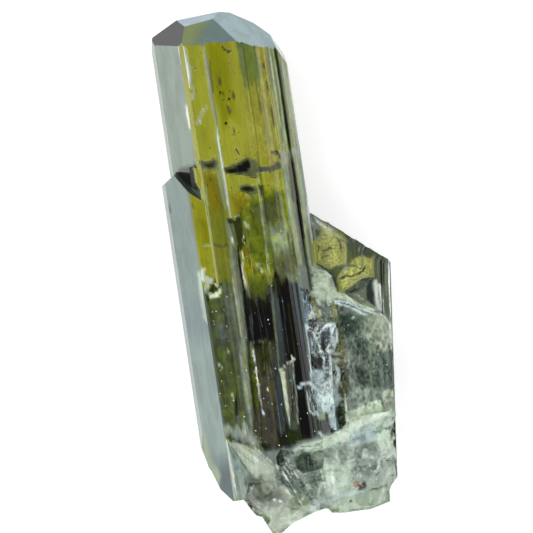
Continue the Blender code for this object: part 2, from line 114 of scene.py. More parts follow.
# Parts of the solid's simple pits that aren't open: outline, level they are filled to, and lowest point
FILLS = [
    (points("8.6,-1.75 9,-0.6 10.3,0.4 11.4,0.25 12.1,-0.5 11.7,-0.62 10.76,-0.6 9.9,-1.05 "
            "9,-1.6"), 5.05, 3.8),
    (points("-3.02,12.1 -2.2,12.1 -2.2,9.5 -2.68,9.6 -3,10.4"), 8.85, 7.2),
]

SIDE_LEAN = -6.6              # degrees that the side crystal's axis turns from the main one
SIDE_EDGE = (12.08, -13.15)   # a point on its right-hand edge
REST_FADE = (0.02, 0.8)       # the relief dies away towards the face that it rests on
BROKEN_FADE = (-0.1, 0.2)     # how far inside an outline its surface begins, and where it is all there
BLOCK_FADE = (-0.1, 0.3)
EVENED_FADE = (-0.3, 0.2)


# ---- measures of a place ----------------------------------------------------
CLOUD_FALL = (0.9, 2.1)       # how much weaker and how much finer each octave of the noise is
LEAN_TURNS = 9.7              # spreads the cells, so that each facet leans its own way
RIDGE_WIDTH = 0.14


def rotated(x, y, degrees, centre):
    """x and y in a frame turned by degrees about centre."""
    a = np.radians(degrees)
    dx, dy = x - centre[0], y - centre[1]
    return dx * np.cos(a) + dy * np.sin(a), -dx * np.sin(a) + dy * np.cos(a)


def from_segment(x, y, a, b):
    """How far each point lies from the segment a to b, and how far along it, from 0 to 1."""
    ex, ey = b[0] - a[0], b[1] - a[1]
    t = np.clip(((x - a[0]) * ex + (y - a[1]) * ey) / (ex * ex + ey * ey), 0, 1)
    return np.hypot(x - a[0] - t * ex, y - a[1] - t * ey), t


def depth_inside(x, y, outline):
    """How far each point lies inside an outline, below 0 outside it."""
    inside = np.zeros(len(x), bool)
    nearest = np.full(len(x), np.inf)
    for a, b in zip(outline, outline[1:] + outline[:1]):
        crosses = (a[1] > y) != (b[1] > y)
        at = a[0] + (y - a[1]) * (b[0] - a[0]) / ((b[1] - a[1]) or 1e-9)
        inside ^= crosses & (x < at)
        nearest = np.minimum(nearest, from_segment(x, y, a, b)[0])
    return np.where(inside, nearest, -nearest)


def from_line(x, y, line):
    """How far each point lies from a line through several points, and how far along it, from 0 to 1."""
    lengths = [math.dist(a, b) for a, b in zip(line, line[1:])]
    nearest, place = np.full(len(x), np.inf), np.zeros(len(x))
    done = 0.0
    for a, b, length in zip(line, line[1:], lengths):
        far, t = from_segment(x, y, a, b)
        place = np.where(far < nearest, (done + t * length) / sum(lengths), place)
        nearest = np.minimum(nearest, far)
        done += length
    return nearest, place


def ramp(value, low, high):
    """0 below low, 1 above high and smooth between."""
    t = np.clip((value - low) / (high - low), 0, 1)
    return t * t * (3 - 2 * t)


def share_inside(x, y, outline, low, high):
    """0 where a point is less than low inside an outline, 1 above high and smooth between."""
    return ramp(depth_inside(x, y, outline), low, high)


def share_in_any(x, y, outlines, low, high):
    """The same for the nearest of several outlines."""
    return np.max([share_inside(x, y, outline, low, high) for outline in outlines], axis=0)


def cloud(x, y, z, scale, octaves=3):
    """Smooth noise of about -1 to 1 at each point; scale is in turns for each mm along X, Y and Z."""
    sx, sy, sz = scale
    return np.array([noise.fractal(Vector(p), *CLOUD_FALL, octaves)
                     for p in zip((x * sx).tolist(), (y * sy).tolist(), (z * sz).tolist())])


def facets(x, y, z, size):
    """Height of flat facets about size across that meet in ridges, and 1 on a ridge to 0 off it."""
    heights, ridges = [], []
    for place in zip((x / size).tolist(), (y / size).tolist(), (z / size).tolist()):
        p = Vector(place)
        planes = []
        for middle in noise.voronoi(p)[1][:3]:
            lean = noise.cell_vector(middle * LEAN_TURNS) - Vector((0.5, 0.5, 0.5))
            planes.append(2 * lean.dot(p - middle) + 0.5 * lean.x)
        planes.sort()
        heights.append(planes[0])
        ridges.append(planes[1] - planes[0])
    return np.array(heights) * size, ramp(np.array(ridges), RIDGE_WIDTH, 0.0)


# ---- the faces of the crystals ----------------------------------------------
WELD = 0.001                  # closer corners are one corner
FLAT_ANGLE = 0.15             # faces closer than this to one plane are one face, degrees
CREASE = 18.0                 # sharper edges stay crisp, degrees
LENGTHS = {                   # the kinds of face, and how long the edges of their mesh are
    "broken": 0.15, "broken side": 0.40, "front": 0.30, "right": 0.30, "side": 0.15, "back": 1.6,
    "plain": 0.8, "steep": 0.8, "ragged": 0.18, "side right": 0.25, "hollow": 0.15, "notch": 0.15, "rim": 0.4,
    "left": 0.34, "bevel": 0.34, "basal": 0.4, "corner": 0.4, "dome": 0.3, "slope": 0.4, "slope_right": 0.4,
}
KIND = {name: number for number, name in enumerate(LENGTHS)}
BROKEN = {KIND["broken"], KIND["broken side"]}
LONGEST = 1.45                # an edge is halved when it is so many times that length
HALVINGS = 9                  # how often at most
STRIP, ROW = 0.11, 0.26       # the striated faces are cut into cells of this size
STRIPED_X, STRIPED_Y = (-3.9, 6.95), (-16.0, 22.8)
CUT_MERGE = 0.004             # a cut closer than this to a corner goes through it

ANY = (-math.inf, math.inf)


def above(low):
    return (low, math.inf)


def below(high):
    return (-math.inf, high)


# Tests of a face of the solid, in this order: the kind of face that it is if all of these hold, the direction
# that it looks almost along, and the spans of its normal and of its middle, each in X, Y and Z
TESTS = [
    ("notch", None, (ANY, ANY, ANY), ((-4.9, -2.3), (9.3, 12.2), (5.0, 8.95))),
    ("notch", (0.622, 0.742, 0.251), (ANY, ANY, ANY), (below(-2.0), ANY, ANY)),
    ("hollow", None, (ANY, ANY, below(0.93)), ((8.4, 12.0), (-3.6, 0.4), (3.8, 5.3))),
    ("hollow", None, (ANY, ANY, above(0.9)), (above(3.95), ANY, (3.85, 3.95))),
    ("rim", None, (below(-0.8), ANY, (0.0, 0.4)), (below(-3.0), below(22.0), ANY)),
    ("left", (-0.903, 0.0, 0.429), (ANY, ANY, ANY), (ANY, below(20.0), ANY)),
    ("bevel", (-0.54, 0.0, 0.84), (ANY, ANY, ANY), (ANY, below(20.0), ANY)),
    ("basal", (-0.05, 0.94, 0.34), (ANY, ANY, ANY), (ANY, above(20.0), ANY)),
    ("corner", (-0.69, 0.60, 0.41), (ANY, ANY, ANY), (ANY, above(20.0), ANY)),
    ("dome", (0.065, 0.682, 0.729), (ANY, ANY, ANY), (ANY, above(20.0), ANY)),
    ("slope", (0.464, 0.754, 0.467), (ANY, ANY, ANY), (ANY, above(20.0), ANY)),
    ("slope_right", (0.72, 0.52, 0.46), (ANY, ANY, ANY), (ANY, above(20.0), ANY)),
    ("back", None, (ANY, ANY, below(-0.9)), (ANY, ANY, below(0.4))),
    ("front", None, (ANY, ANY, above(0.97)), (below(4.3), ANY, above(8.3))),
    ("right", None, (above(0.1), (-0.06, 0.06), ANY), ((2.8, 7.1), ANY, above(1.0))),
    ("side", None, (ANY, ANY, above(0.93)), (above(7.0), ANY, (4.4, 5.4))),
]
# The same for the rest of the broken part, and for the rest of the crystals
BROKEN_TESTS = [("broken", None, (ANY, ANY, above(0.2)), (ANY, ANY, ANY))]
OTHER_TESTS = [
    ("plain", None, (ANY, ANY, ANY), (below(7.0), ANY, ANY)),
    ("ragged", None, (ANY, above(0.5), below(0.5)), (ANY, ANY, ANY)),
    ("side right", None, (above(0.5), ANY, above(0.4)), (ANY, ANY, ANY)),
    ("steep", None, (ANY, ANY, below(0.4)), (ANY, ANY, ANY)),
]
SAME_WAY = 0.985              # least cosine between a face's normal and the direction that it looks along
LEAST_SIDE = 0.4              # smaller level faces aren't the side crystal's top face, square mm

PRESSED = 0.05                # what is left of a filled pit's depth
EVENING_ROUNDS = 24           # how often the plates of the base's slab and tip are evened out
PLATES_FLOOR = 3.7            # only what is higher than this is evened out
END_FOOT = 2.9                # the side crystal's upper end is stood upright above this,
END_OUT = (0.154, 0.185, 0.0)    # by so much for each mm
SIDE_TOP, FLATTENED = 5.02, 0.28    # the bevels along its right-hand edge are flatter than the solid's


def passes(normal, middle, direction, normal_box, middle_box):
    """Whether a face looks along the direction, if there is one, and lies in both boxes."""
    if direction and normal.dot(Vector(direction).normalized()) <= SAME_WAY:
        return False
    boxes = [*zip(normal, normal_box), *zip(middle, middle_box)]
    return all(low < value < high for value, (low, high) in boxes)


def kind_of(face):
    """The kind of crystal face that a face of the solid belongs to."""
    normal, middle = face.normal, face.calc_center_median()
    for name, *test in TESTS:
        if passes(normal, middle, *test) and (name != "side" or face.calc_area() > LEAST_SIDE):
            return name
    broken = depth_inside(np.array([middle.x]), np.array([middle.y]), ROUGH_AREA)[0] >= 0
    for name, *test in BROKEN_TESTS if broken else OTHER_TESTS:
        if passes(normal, middle, *test):
            return name
    return "broken side" if broken else "plain"


def split_long_edges(bm, kind):
    """Halves edges until each is about as long as the kinds of its faces ask."""
    limits = [length * LONGEST for length in LENGTHS.values()]
    for _ in range(HALVINGS):
        long = [e for e in bm.edges if e.calc_length() > min(limits[f[kind]] for f in e.link_faces)]
        if not long:
            break
        bmesh.ops.subdivide_edges(bm, edges=long, cuts=1)
        many = [f for f in bm.faces if len(f.verts) > 3]
        bmesh.ops.triangulate(bm, faces=many, quad_method="SHORT_EDGE")


def cut_striated(bm, kind, across, places):
    """Cuts the striated prism faces by planes at these places across them."""
    wanted = {KIND["front"], KIND["right"]}
    for at in places:
        faces = [f for f in bm.faces if f[kind] in wanted]
        edges = {e for f in faces for e in f.edges}
        verts = {v for f in faces for v in f.verts}
        bmesh.ops.bisect_plane(bm, geom=faces + list(edges) + list(verts), dist=CUT_MERGE,
                               plane_co=across * at, plane_no=across)


def fill_pits(bm):
    """Presses what lies in a closed part of a pit almost flat against its level."""
    verts = list(bm.verts)
    x, y, z = np.array([v.co[:] for v in verts]).T
    for outline, level, floor in FILLS:
        inside = (depth_inside(x, y, outline) > 0) & (z < level) & (z > floor)
        for index in np.nonzero(inside)[0]:
            verts[index].co.z = level + PRESSED * (z[index] - level)


def even_out_plates(bm):
    """Evens out the steps between the simple plates of the base's slab and tip."""
    x, y, z = np.array([v.co[:] for v in bm.verts]).T
    inside = np.any([depth_inside(x, y, outline) > 0 for outline in EVENED], axis=0)
    verts = [v for v, chosen in zip(bm.verts, inside & (z > PLATES_FLOOR)) if chosen]
    for _ in range(EVENING_ROUNDS):
        bmesh.ops.smooth_vert(bm, verts=verts, factor=0.5, use_axis_x=True, use_axis_y=True, use_axis_z=True)


def shape_side_crystal(bm, kind):
    """Stands the side crystal's upper end upright, and flattens the bevels along its right-hand edge."""
    for vert in bm.verts:
        near = {f[kind] for f in vert.link_faces}
        if KIND["ragged"] in near and vert.co.z > END_FOOT:
            vert.co += Vector(END_OUT) * (vert.co.z - END_FOOT)
        if KIND["side right"] in near:
            vert.co.z = SIDE_TOP - FLATTENED * (SIDE_TOP - vert.co.z)


def refined_solid(cad):
    """The solid's mesh in millimetres, cut finely enough for its relief, with the kind of each face."""
    bm = bmesh.new()
    bm.from_mesh(cad.data)
    bmesh.ops.scale(bm, vec=(1 / MM,) * 3, verts=bm.verts)
    bmesh.ops.remove_doubles(bm, verts=bm.verts, dist=WELD)
    bmesh.ops.dissolve_limit(bm, angle_limit=math.radians(FLAT_ANGLE), verts=bm.verts, edges=bm.edges)
    bm.normal_update()
    kind = bm.faces.layers.int.new("kind")
    for face in bm.faces:
        face[kind] = KIND[kind_of(face)]
        face.smooth = True
    for edge in bm.edges:
        edge.smooth = len(edge.link_faces) == 2 and edge.calc_face_angle() < math.radians(CREASE)
    cut_striated(bm, kind, Vector((0, 1, 0)), np.arange(*STRIPED_Y, ROW))
    cut_striated(bm, kind, Vector((1, 0, 0)), np.arange(*STRIPED_X, STRIP))
    bmesh.ops.triangulate(bm, faces=[f for f in bm.faces if len(f.verts) > 3])
    split_long_edges(bm, kind)
    fill_pits(bm)
    even_out_plates(bm)
    shape_side_crystal(bm, kind)
    bm.normal_update()
    return bm, kind


# ---- relief of the surface --------------------------------------------------
FACET_RELIEF = 0.15           # tilt of the facets of broken surfaces, and their two sizes
FACET_SIZES = (1.9, 0.7)
SMALL_SHARE = 0.8             # how much the small facets tilt, of what the large ones do
SMALL_RIDGE = 0.5
BLOCK_LOSS = 0.75             # how much of that tilt is lost on the fibrous block
EVENED_LOSS = 0.85            # how much of it is lost where the base is evened out
BROKEN_RELIEF = 0.014         # height of the fine roughness on broken surfaces
EDGE_SHARE = 0.12             # how much of the relief the faces along the outline keep
FIBRE_RELIEF = 0.055          # height of the ribs along the pale block
RAGGED_RELIEF = 0.12          # unevenness of the side crystal's broken upper end
STRIATION_RELIEF = 0.030      # height of the fine steps along the prism faces
STEPS_FADE = (26.0, 20.0)     # they die away between these places towards the crystal's end
# Turns of each of these for each mm along X, Y and Z
BROKEN_TURNS, FIBRE_TURNS = (2.3, 2.3, 2.3), (2.2, 0.25, 0.8)
RAGGED_TURNS, STEP_TURNS = (1.3, 1.3, 0.5), (4.2, 0.02, 0.6)


def relief(x, y, z, prism):
    """How far the surface stands out from the solid at each point, and where its ridges are."""
    broken = share_inside(x, y, ROUGH_AREA, *BROKEN_FADE) * (1 - prism)
    block = share_inside(x, y, BLOCK, *BLOCK_FADE) * broken
    even = share_in_any(x, y, EVENED, *EVENED_FADE)
    large, small = [facets(x, y, z, size) for size in FACET_SIZES]
    chips = (large[0] + SMALL_SHARE * small[0]) * FACET_RELIEF * (1 - EVENED_LOSS * even)
    ridges = np.maximum(large[1], SMALL_RIDGE * small[1]) * broken * (1 - block)
    across, along = rotated(x, y, SIDE_LEAN, SIDE_EDGE)
    fibres = cloud(across, along, z, FIBRE_TURNS)
    steps = cloud(x, y, z, STEP_TURNS) * ramp(y, *STEPS_FADE)
    high = (chips * (1 - BLOCK_LOSS * block) + BROKEN_RELIEF * cloud(x, y, z, BROKEN_TURNS, 4)) * broken
    high += FIBRE_RELIEF * fibres * block
    high += STRIATION_RELIEF * steps * prism
    return high * ramp(z, *REST_FADE), ridges


def raise_relief(bm, kind):
    """Moves each corner of the mesh along its normal by the relief, and creases the ridges that it makes."""
    striated = {KIND["front"], KIND["right"], KIND["side"]}
    ridge = bm.verts.layers.float.new("ridge")
    kinds = [[f[kind] for f in v.link_faces] for v in bm.verts]
    prism = np.array([any(k not in BROKEN for k in near) for near in kinds], float)
    steps = np.array([all(k in striated for k in near) for near in kinds], float)
    on_edge = np.array([KIND["broken side"] in near for near in kinds])
    ragged = np.array([KIND["ragged"] in near for near in kinds])
    places = np.array([v.co[:] for v in bm.verts])
    up, ridges = relief(*places.T, prism)
    up *= np.where(prism == 1, steps, np.where(on_edge, EDGE_SHARE, 1.0))
    x, y, z = places[ragged].T
    up[ragged] = RAGGED_RELIEF * cloud(x, y, z, RAGGED_TURNS, 4) * ramp(z, *REST_FADE)
    for vert, height, mark in zip(bm.verts, up.tolist(), ridges.tolist()):
        vert.co += vert.normal * height
        vert[ridge] = mark
    bm.normal_update()
    for edge in bm.edges:
        if all(f[kind] in BROKEN for f in edge.link_faces):
            edge.smooth = edge.calc_face_angle(0) < math.radians(CREASE)


# ---- looks ------------------------------------------------------------------
CLEAR_LOOK = (0.28, 0.29, 0.03)     # the deep clear body over the pale floor, linear RGB
SKY = 1.10                          # what a white surface shows
# A look is the red, green and blue that show from above, how clear the crystal is there, and its roughness
# where that isn't the usual one of a clear or of a frosted surface
LOOKS = {
    "body": (*CLEAR_LOOK, 1.0),
    "deep": (0.20, 0.21, 0.008, 1.0),
    "amber": (0.20, 0.19, 0.008, 0.9),
    "yellow": (0.28, 0.285, 0.02, 0.9),
    "orange": (0.23, 0.17, 0.012, 0.5),
    "khaki": (0.33, 0.32, 0.058, 0.7),
    "pink line": (0.44, 0.40, 0.16, 0.35),
    "mid green": (0.17, 0.185, 0.022, 0.8),
    "green": (0.16, 0.205, 0.046, 0.6),
    "low green": (0.12, 0.15, 0.02, 0.55),
    "dull": (0.075, 0.09, 0.02, 0.45),
    "grey green": (0.125, 0.17, 0.06, 0.4),
    "mist": (0.19, 0.24, 0.135, 0.25),
    "pale green": (0.31, 0.38, 0.19, 0.25),
    "pale line": (0.46, 0.52, 0.36, 0.1),
    # white: pale lines, and also painted glints and highlights
    "white": (0.84, 0.90, 0.84, 0.0),
    "lilac": (0.34, 0.38, 0.29, 0.15),
    "smear": (0.105, 0.12, 0.045, 0.3),
    "dark": (0.045, 0.055, 0.02, 0.2, 0.12),
    "brown spot": (0.08, 0.07, 0.004, 0.4),
    "black": (0.010, 0.011, 0.006, 0.0, 0.1),
    "foot": (0.008, 0.010, 0.010, 0.0, 0.1),
    "foot brown": (0.028, 0.029, 0.023, 0.0, 0.12),
    # foot blue, blue grey and blue band: blue-greys, partly painted reflection in the striations of the dark
    # foot
    "foot blue": (0.010, 0.012, 0.017, 0.0, 0.1),
    "stripe": (0.29, 0.335, 0.25, 0.1, 0.2),
    "blue grey": (0.055, 0.070, 0.072, 0.0, 0.18),
    "blue band": (0.042, 0.056, 0.058, 0.0),
    "umber": (0.20, 0.165, 0.015, 0.7),
    "window top": (0.082, 0.115, 0.020, 0.4),
    "window grey": (0.10, 0.123, 0.069, 0.2),
    "window low": (0.085, 0.114, 0.013, 0.3),
    # left upper to left foot: the left face's pale greys, partly its own colour and partly painted reflection
    # of the bright surroundings
    "left upper": (0.35, 0.41, 0.35, 0.25, 0.16),
    "left middle": (0.30, 0.37, 0.34, 0.25, 0.16),
    "left lower": (0.36, 0.44, 0.39, 0.2, 0.22),
    "left foot": (0.20, 0.245, 0.24, 0.2),
    "foot mist": (0.36, 0.43, 0.36, 0.15),
    # basal: pale blue-grey, a painted reflection of light from above; corner: dark teal, a painted reflection
    # of darker surroundings
    "basal": (0.43, 0.54, 0.58, 0.2, 0.12),
    "corner": (0.10, 0.155, 0.165, 0.0, 0.5),
    "dome olive": (0.19, 0.23, 0.08, 0.5),
    "dome grey": (0.15, 0.21, 0.21, 0.3, 0.1),
    # slope: pale blue-grey, a painted reflection of light from above
    "slope": (0.33, 0.43, 0.45, 0.2, 0.14),
    "side window": (0.42, 0.44, 0.12, 0.3),
    "side green": (0.12, 0.155, 0.045, 0.3),
    # side dark: the side crystal's dark green, partly painted shade
    "side dark": (0.090, 0.112, 0.064, 0.1, 0.4),
    "block dark": (0.082, 0.105, 0.084, 0.1, 0.15),
    "block": (0.140, 0.170, 0.128, 0.15, 0.2),
    "block pale": (0.30, 0.35, 0.26, 0.05),
    "block grey": (0.19, 0.24, 0.20, 0.12),
    "ribs": (0.19, 0.23, 0.18, 0.1),
    "cream": (0.44, 0.52, 0.385, 0.05),
    "bright cream": (0.60, 0.70, 0.58, 0.0),
    "brown": (0.090, 0.100, 0.050, 0.15, 0.18),
    "olive": (0.14, 0.145, 0.045, 0.15),
    "teal black": (0.022, 0.034, 0.038, 0.0),
    "frost dark": (0.060, 0.085, 0.095, 0.0),
    "frost blue": (0.13, 0.19, 0.22, 0.0),
    "frost grey": (0.27, 0.34, 0.36, 0.0),
    "frost white": (0.46, 0.57, 0.57, 0.0),
    "frost bright": (0.64, 0.76, 0.75, 0.0),
    "base": (0.41, 0.49, 0.40, 0.12, 0.22),
    "base pale": (0.55, 0.65, 0.53, 0.08),
    "base blue": (0.49, 0.61, 0.58, 0.08),
    "base smoke": (0.24, 0.29, 0.22, 0.2, 0.12),
    "cavity": (0.27, 0.33, 0.27, 0.15, 0.1),
    # hollow: the crystal's brown-grey, darkened by painted shade in pits
    "hollow": (0.18, 0.21, 0.16, 0.1),
    # under: painted shade beneath the ledge
    "under": (0.230, 0.280, 0.240, 0.0, 0.08),
    "shade": (0.300, 0.350, 0.230, 0.1),
    # notch: painted shade in the shoulder notch
    "notch": (0.030, 0.036, 0.024, 0.0, 0.5),
    "grey brown": (0.125, 0.135, 0.075, 0.25),
    # window deep: a lit copy of the side window, painted light against the shade of its recess
    "window deep": (0.60, 0.64, 0.17, 0.0),
    "tab": (0.085, 0.095, 0.060, 0.1),
    "foot mid": (0.058, 0.055, 0.032, 0.0),
    # frost glow: a lit copy of frost white, painted light against the shade of the frosted recess
    "frost glow": (0.82, 0.96, 0.96, 0.0),
    "slab": (0.43, 0.52, 0.385, 0.12, 0.25),
    "tip": (0.40, 0.47, 0.345, 0.12, 0.2),
    "tip brown": (0.25, 0.275, 0.21, 0.2, 0.12),
    "tip olive": (0.21, 0.26, 0.145, 0.25, 0.12),
    "clear dark": (0.17, 0.21, 0.18, 0.15, 0.06),
    "clear face": (0.23, 0.28, 0.22, 0.25, 0.08),
    "red brown": (0.085, 0.050, 0.045, 0.0),
    "rust": (0.40, 0.19, 0.06, 0.0),
    "flake": (0.50, 0.57, 0.44, 0.05),
}
CLEAR_ROUGHNESS, FROSTED_ROUGHNESS = 0.04, 0.38
CLEAR_FROM = 0.5                    # a look is a clear one from this clearness on
# What the mirror-like share of each kind of face adds, which isn't part of its coat
SHINE = {
    "left": 0.22, "bevel": 0.10, "basal": 0.28, "corner": 0.20, "dome": 0.14, "slope": 0.17,
    "slope_right": 0.17, "broken": 0.06, "steep": 0.10, "ragged": 0.08, "side right": 0.03, "rim": 0.30,
    "side": 0.03, "front": 0.02, "right": 0.045, "plain": 0.06,
}
CLEAR_SHINE = 0.6                   # how much of that is missing where the crystal is clear
LIFT = {"broken": 1.22}             # how much brighter a coat must be where its kind of surface shades itself
FROST_LIFT = 0.2                    # and how much more in the frosted zone
# How strongly the striations show on each kind of face
STRIATED = {"front": 0.8, "right": 1.0, "side": 0.5, "left": 0.22, "bevel": 0.3, "plain": 0.8, "back": 0.4}

# Patches seen from above, laid in this order: look, softness of the edge, outline.
# On the prism, whose striations drag the edges of a patch out along it:
PRISM_PATCHES = rows_of([
    ("green", 0.12, "5.15,22.5 7.3,22.5 7.3,12 5.15,12"),
    ("mist", 0.12, "5.05,12.2 7.3,12.2 7.3,-0.5 5.05,-0.5"),
    ("deep", 0.6, "-0.2,23.3 1.6,23.3 1.6,18 1.6,15.6 0.3,15.2 -0.3,18"),
    ("khaki", 0.7, "2.6,19 5.3,18.2 5.2,11.5 2.3,11.9 2.1,15"),
    ("green", 0.25, "2.6,23.3 4.35,23.3 4.3,20 3.9,18.4 3.2,18.8 2.6,20.5"),
    ("grey green", 0.2, "2.6,23.3 3.15,23.3 3.1,18.4 2.8,18.2"),
    ("khaki", 0.2, "4.4,22.6 4.95,22.4 4.95,19.5 4.45,19.5"),
    ("yellow", 0.25, "-4.2,10.1 -2.5,10 -2.5,5.5 -2.9,1.4 -4.2,1.4"),
    ("amber", 0.3, "-3.1,7.2 -2.5,7 -2.5,4.4 -3.1,4.4"),
    ("mid green", 0.5, "-2.4,10.8 -0.6,10.8 -0.6,1 -2.4,1.2"),
    ("umber", 0.4, "-2.1,10.9 -1.1,10.9 -1.1,7.6 -2,7.2"),
    ("umber", 0.5, "0.1,8.8 1.3,8.6 1.5,7.2 0.2,7"),
    ("low green", 0.6, "1.9,8.7 4.9,8.7 4.9,2.5 3.4,1 0.3,2 0.3,7 1.2,7.6"),
    ("dull", 0.35, "1.6,7.8 4.2,7.7 4.3,6.1 3.2,5.6 1.8,6.2"),
    ("mist", 0.45, MISTY),
    ("smear", 0.35, "2.9,2.9 5,2.9 5,0.4 2.8,0.4"),
    ("grey brown", 0.15, "-0.75,4 0.02,4.2 0.05,2 0.02,-0.4 -0.9,-0.6 -0.88,2.2"),
    ("pale green", 0.3, "3.5,4.9 4.6,4.9 4.8,3.9 4,3.2 3.3,3.5 3,4.2"),
    ("amber", 0.2, "0.25,2.5 1.15,2.4 1.5,1.9 1.35,1.2 0.4,1"),
    ("window grey", 0.3, "-4,0.3 5.2,0.3 5.2,-15.6 -1.2,-15 -4,-13.3"),
    ("window top", 0.3, "-4,1 -1,1.2 -0.9,-4.6 -1.6,-12.2 -4,-12.3"),
    ("window grey", 0.4, "-2.3,0.4 -1.1,0.4 -1.2,-8 -1.6,-12.3 -2.1,-12.3 -1.9,-5"),
    ("window grey", 0.4, "-3.4,-2.4 -1.2,-1.8 -1.2,-4.6 -3,-4.6"),
    ("window low", 0.5, "-4,-5.2 -2.5,-5 -1.8,-7 -1.95,-12.3 -4,-12.4"),
    ("foot brown", 0.3, "-0.15,-0.5 0.6,-0.2 0.9,-1.2 2.1,-0.6 2.5,0.7 3.2,1 3.5,0.5 4.1,0.6 5,0.1 "
                        "5.2,-5 5,-15.6 -0.4,-15.6 -1.3,-14 -0.9,-12 -0.5,-6"),
    ("foot", 0.35, "-0.2,-1.9 0.9,-2.4 2.2,-1.6 2.3,-5.2 1.4,-4.8 -0.3,-4.4"),
    ("foot mid", 0.4, "-0.3,-5.2 1.9,-5.2 1.6,-8.5 1.1,-12 1,-14.8 -1,-14.5 -0.8,-9"),
    ("dull", 0.25, "0.3,-5.3 1,-5.3 0.9,-6.9 0.4,-6.8"),
    ("low green", 0.2, "0.55,1.3 1.95,1.4 2.15,0.3 1.7,-0.8 0.8,-0.9 0.45,0"),
    ("dark", 0.3, "0.3,-5.2 1.3,-5.2 1.4,-7.4 0.4,-7.6"),
    # blue-grey in the dark foot, partly painted reflection in its striations
    ("foot blue", 0.3, "2.7,-0.2 4.15,0 4.2,-9.6 3.6,-9.4 2.9,-6.5"),
    ("blue band", 0.25, "2.15,0 3,-0.5 2.85,-4.4 2.7,-7 2.3,-8.1 2.05,-13.3 1.1,-13.2 1.3,-9.6 1.7,-7 "
                        "2.1,-5"),
    ("dark", 0.3, "1.9,-11.8 3.2,-11.8 3.2,-14.6 1.9,-14.9"),
    ("foot", 0.2, "3.3,-10.2 4.3,-10.2 4.6,-12.2 4.9,-12.8 4.7,-13.8 3.2,-13.6"),
    ("foot mist", 0.3, "-3.8,-12.4 -1.5,-12.3 -1.2,-13.2 -0.8,-14.8 -2,-14 -3.8,-13.2"),
])
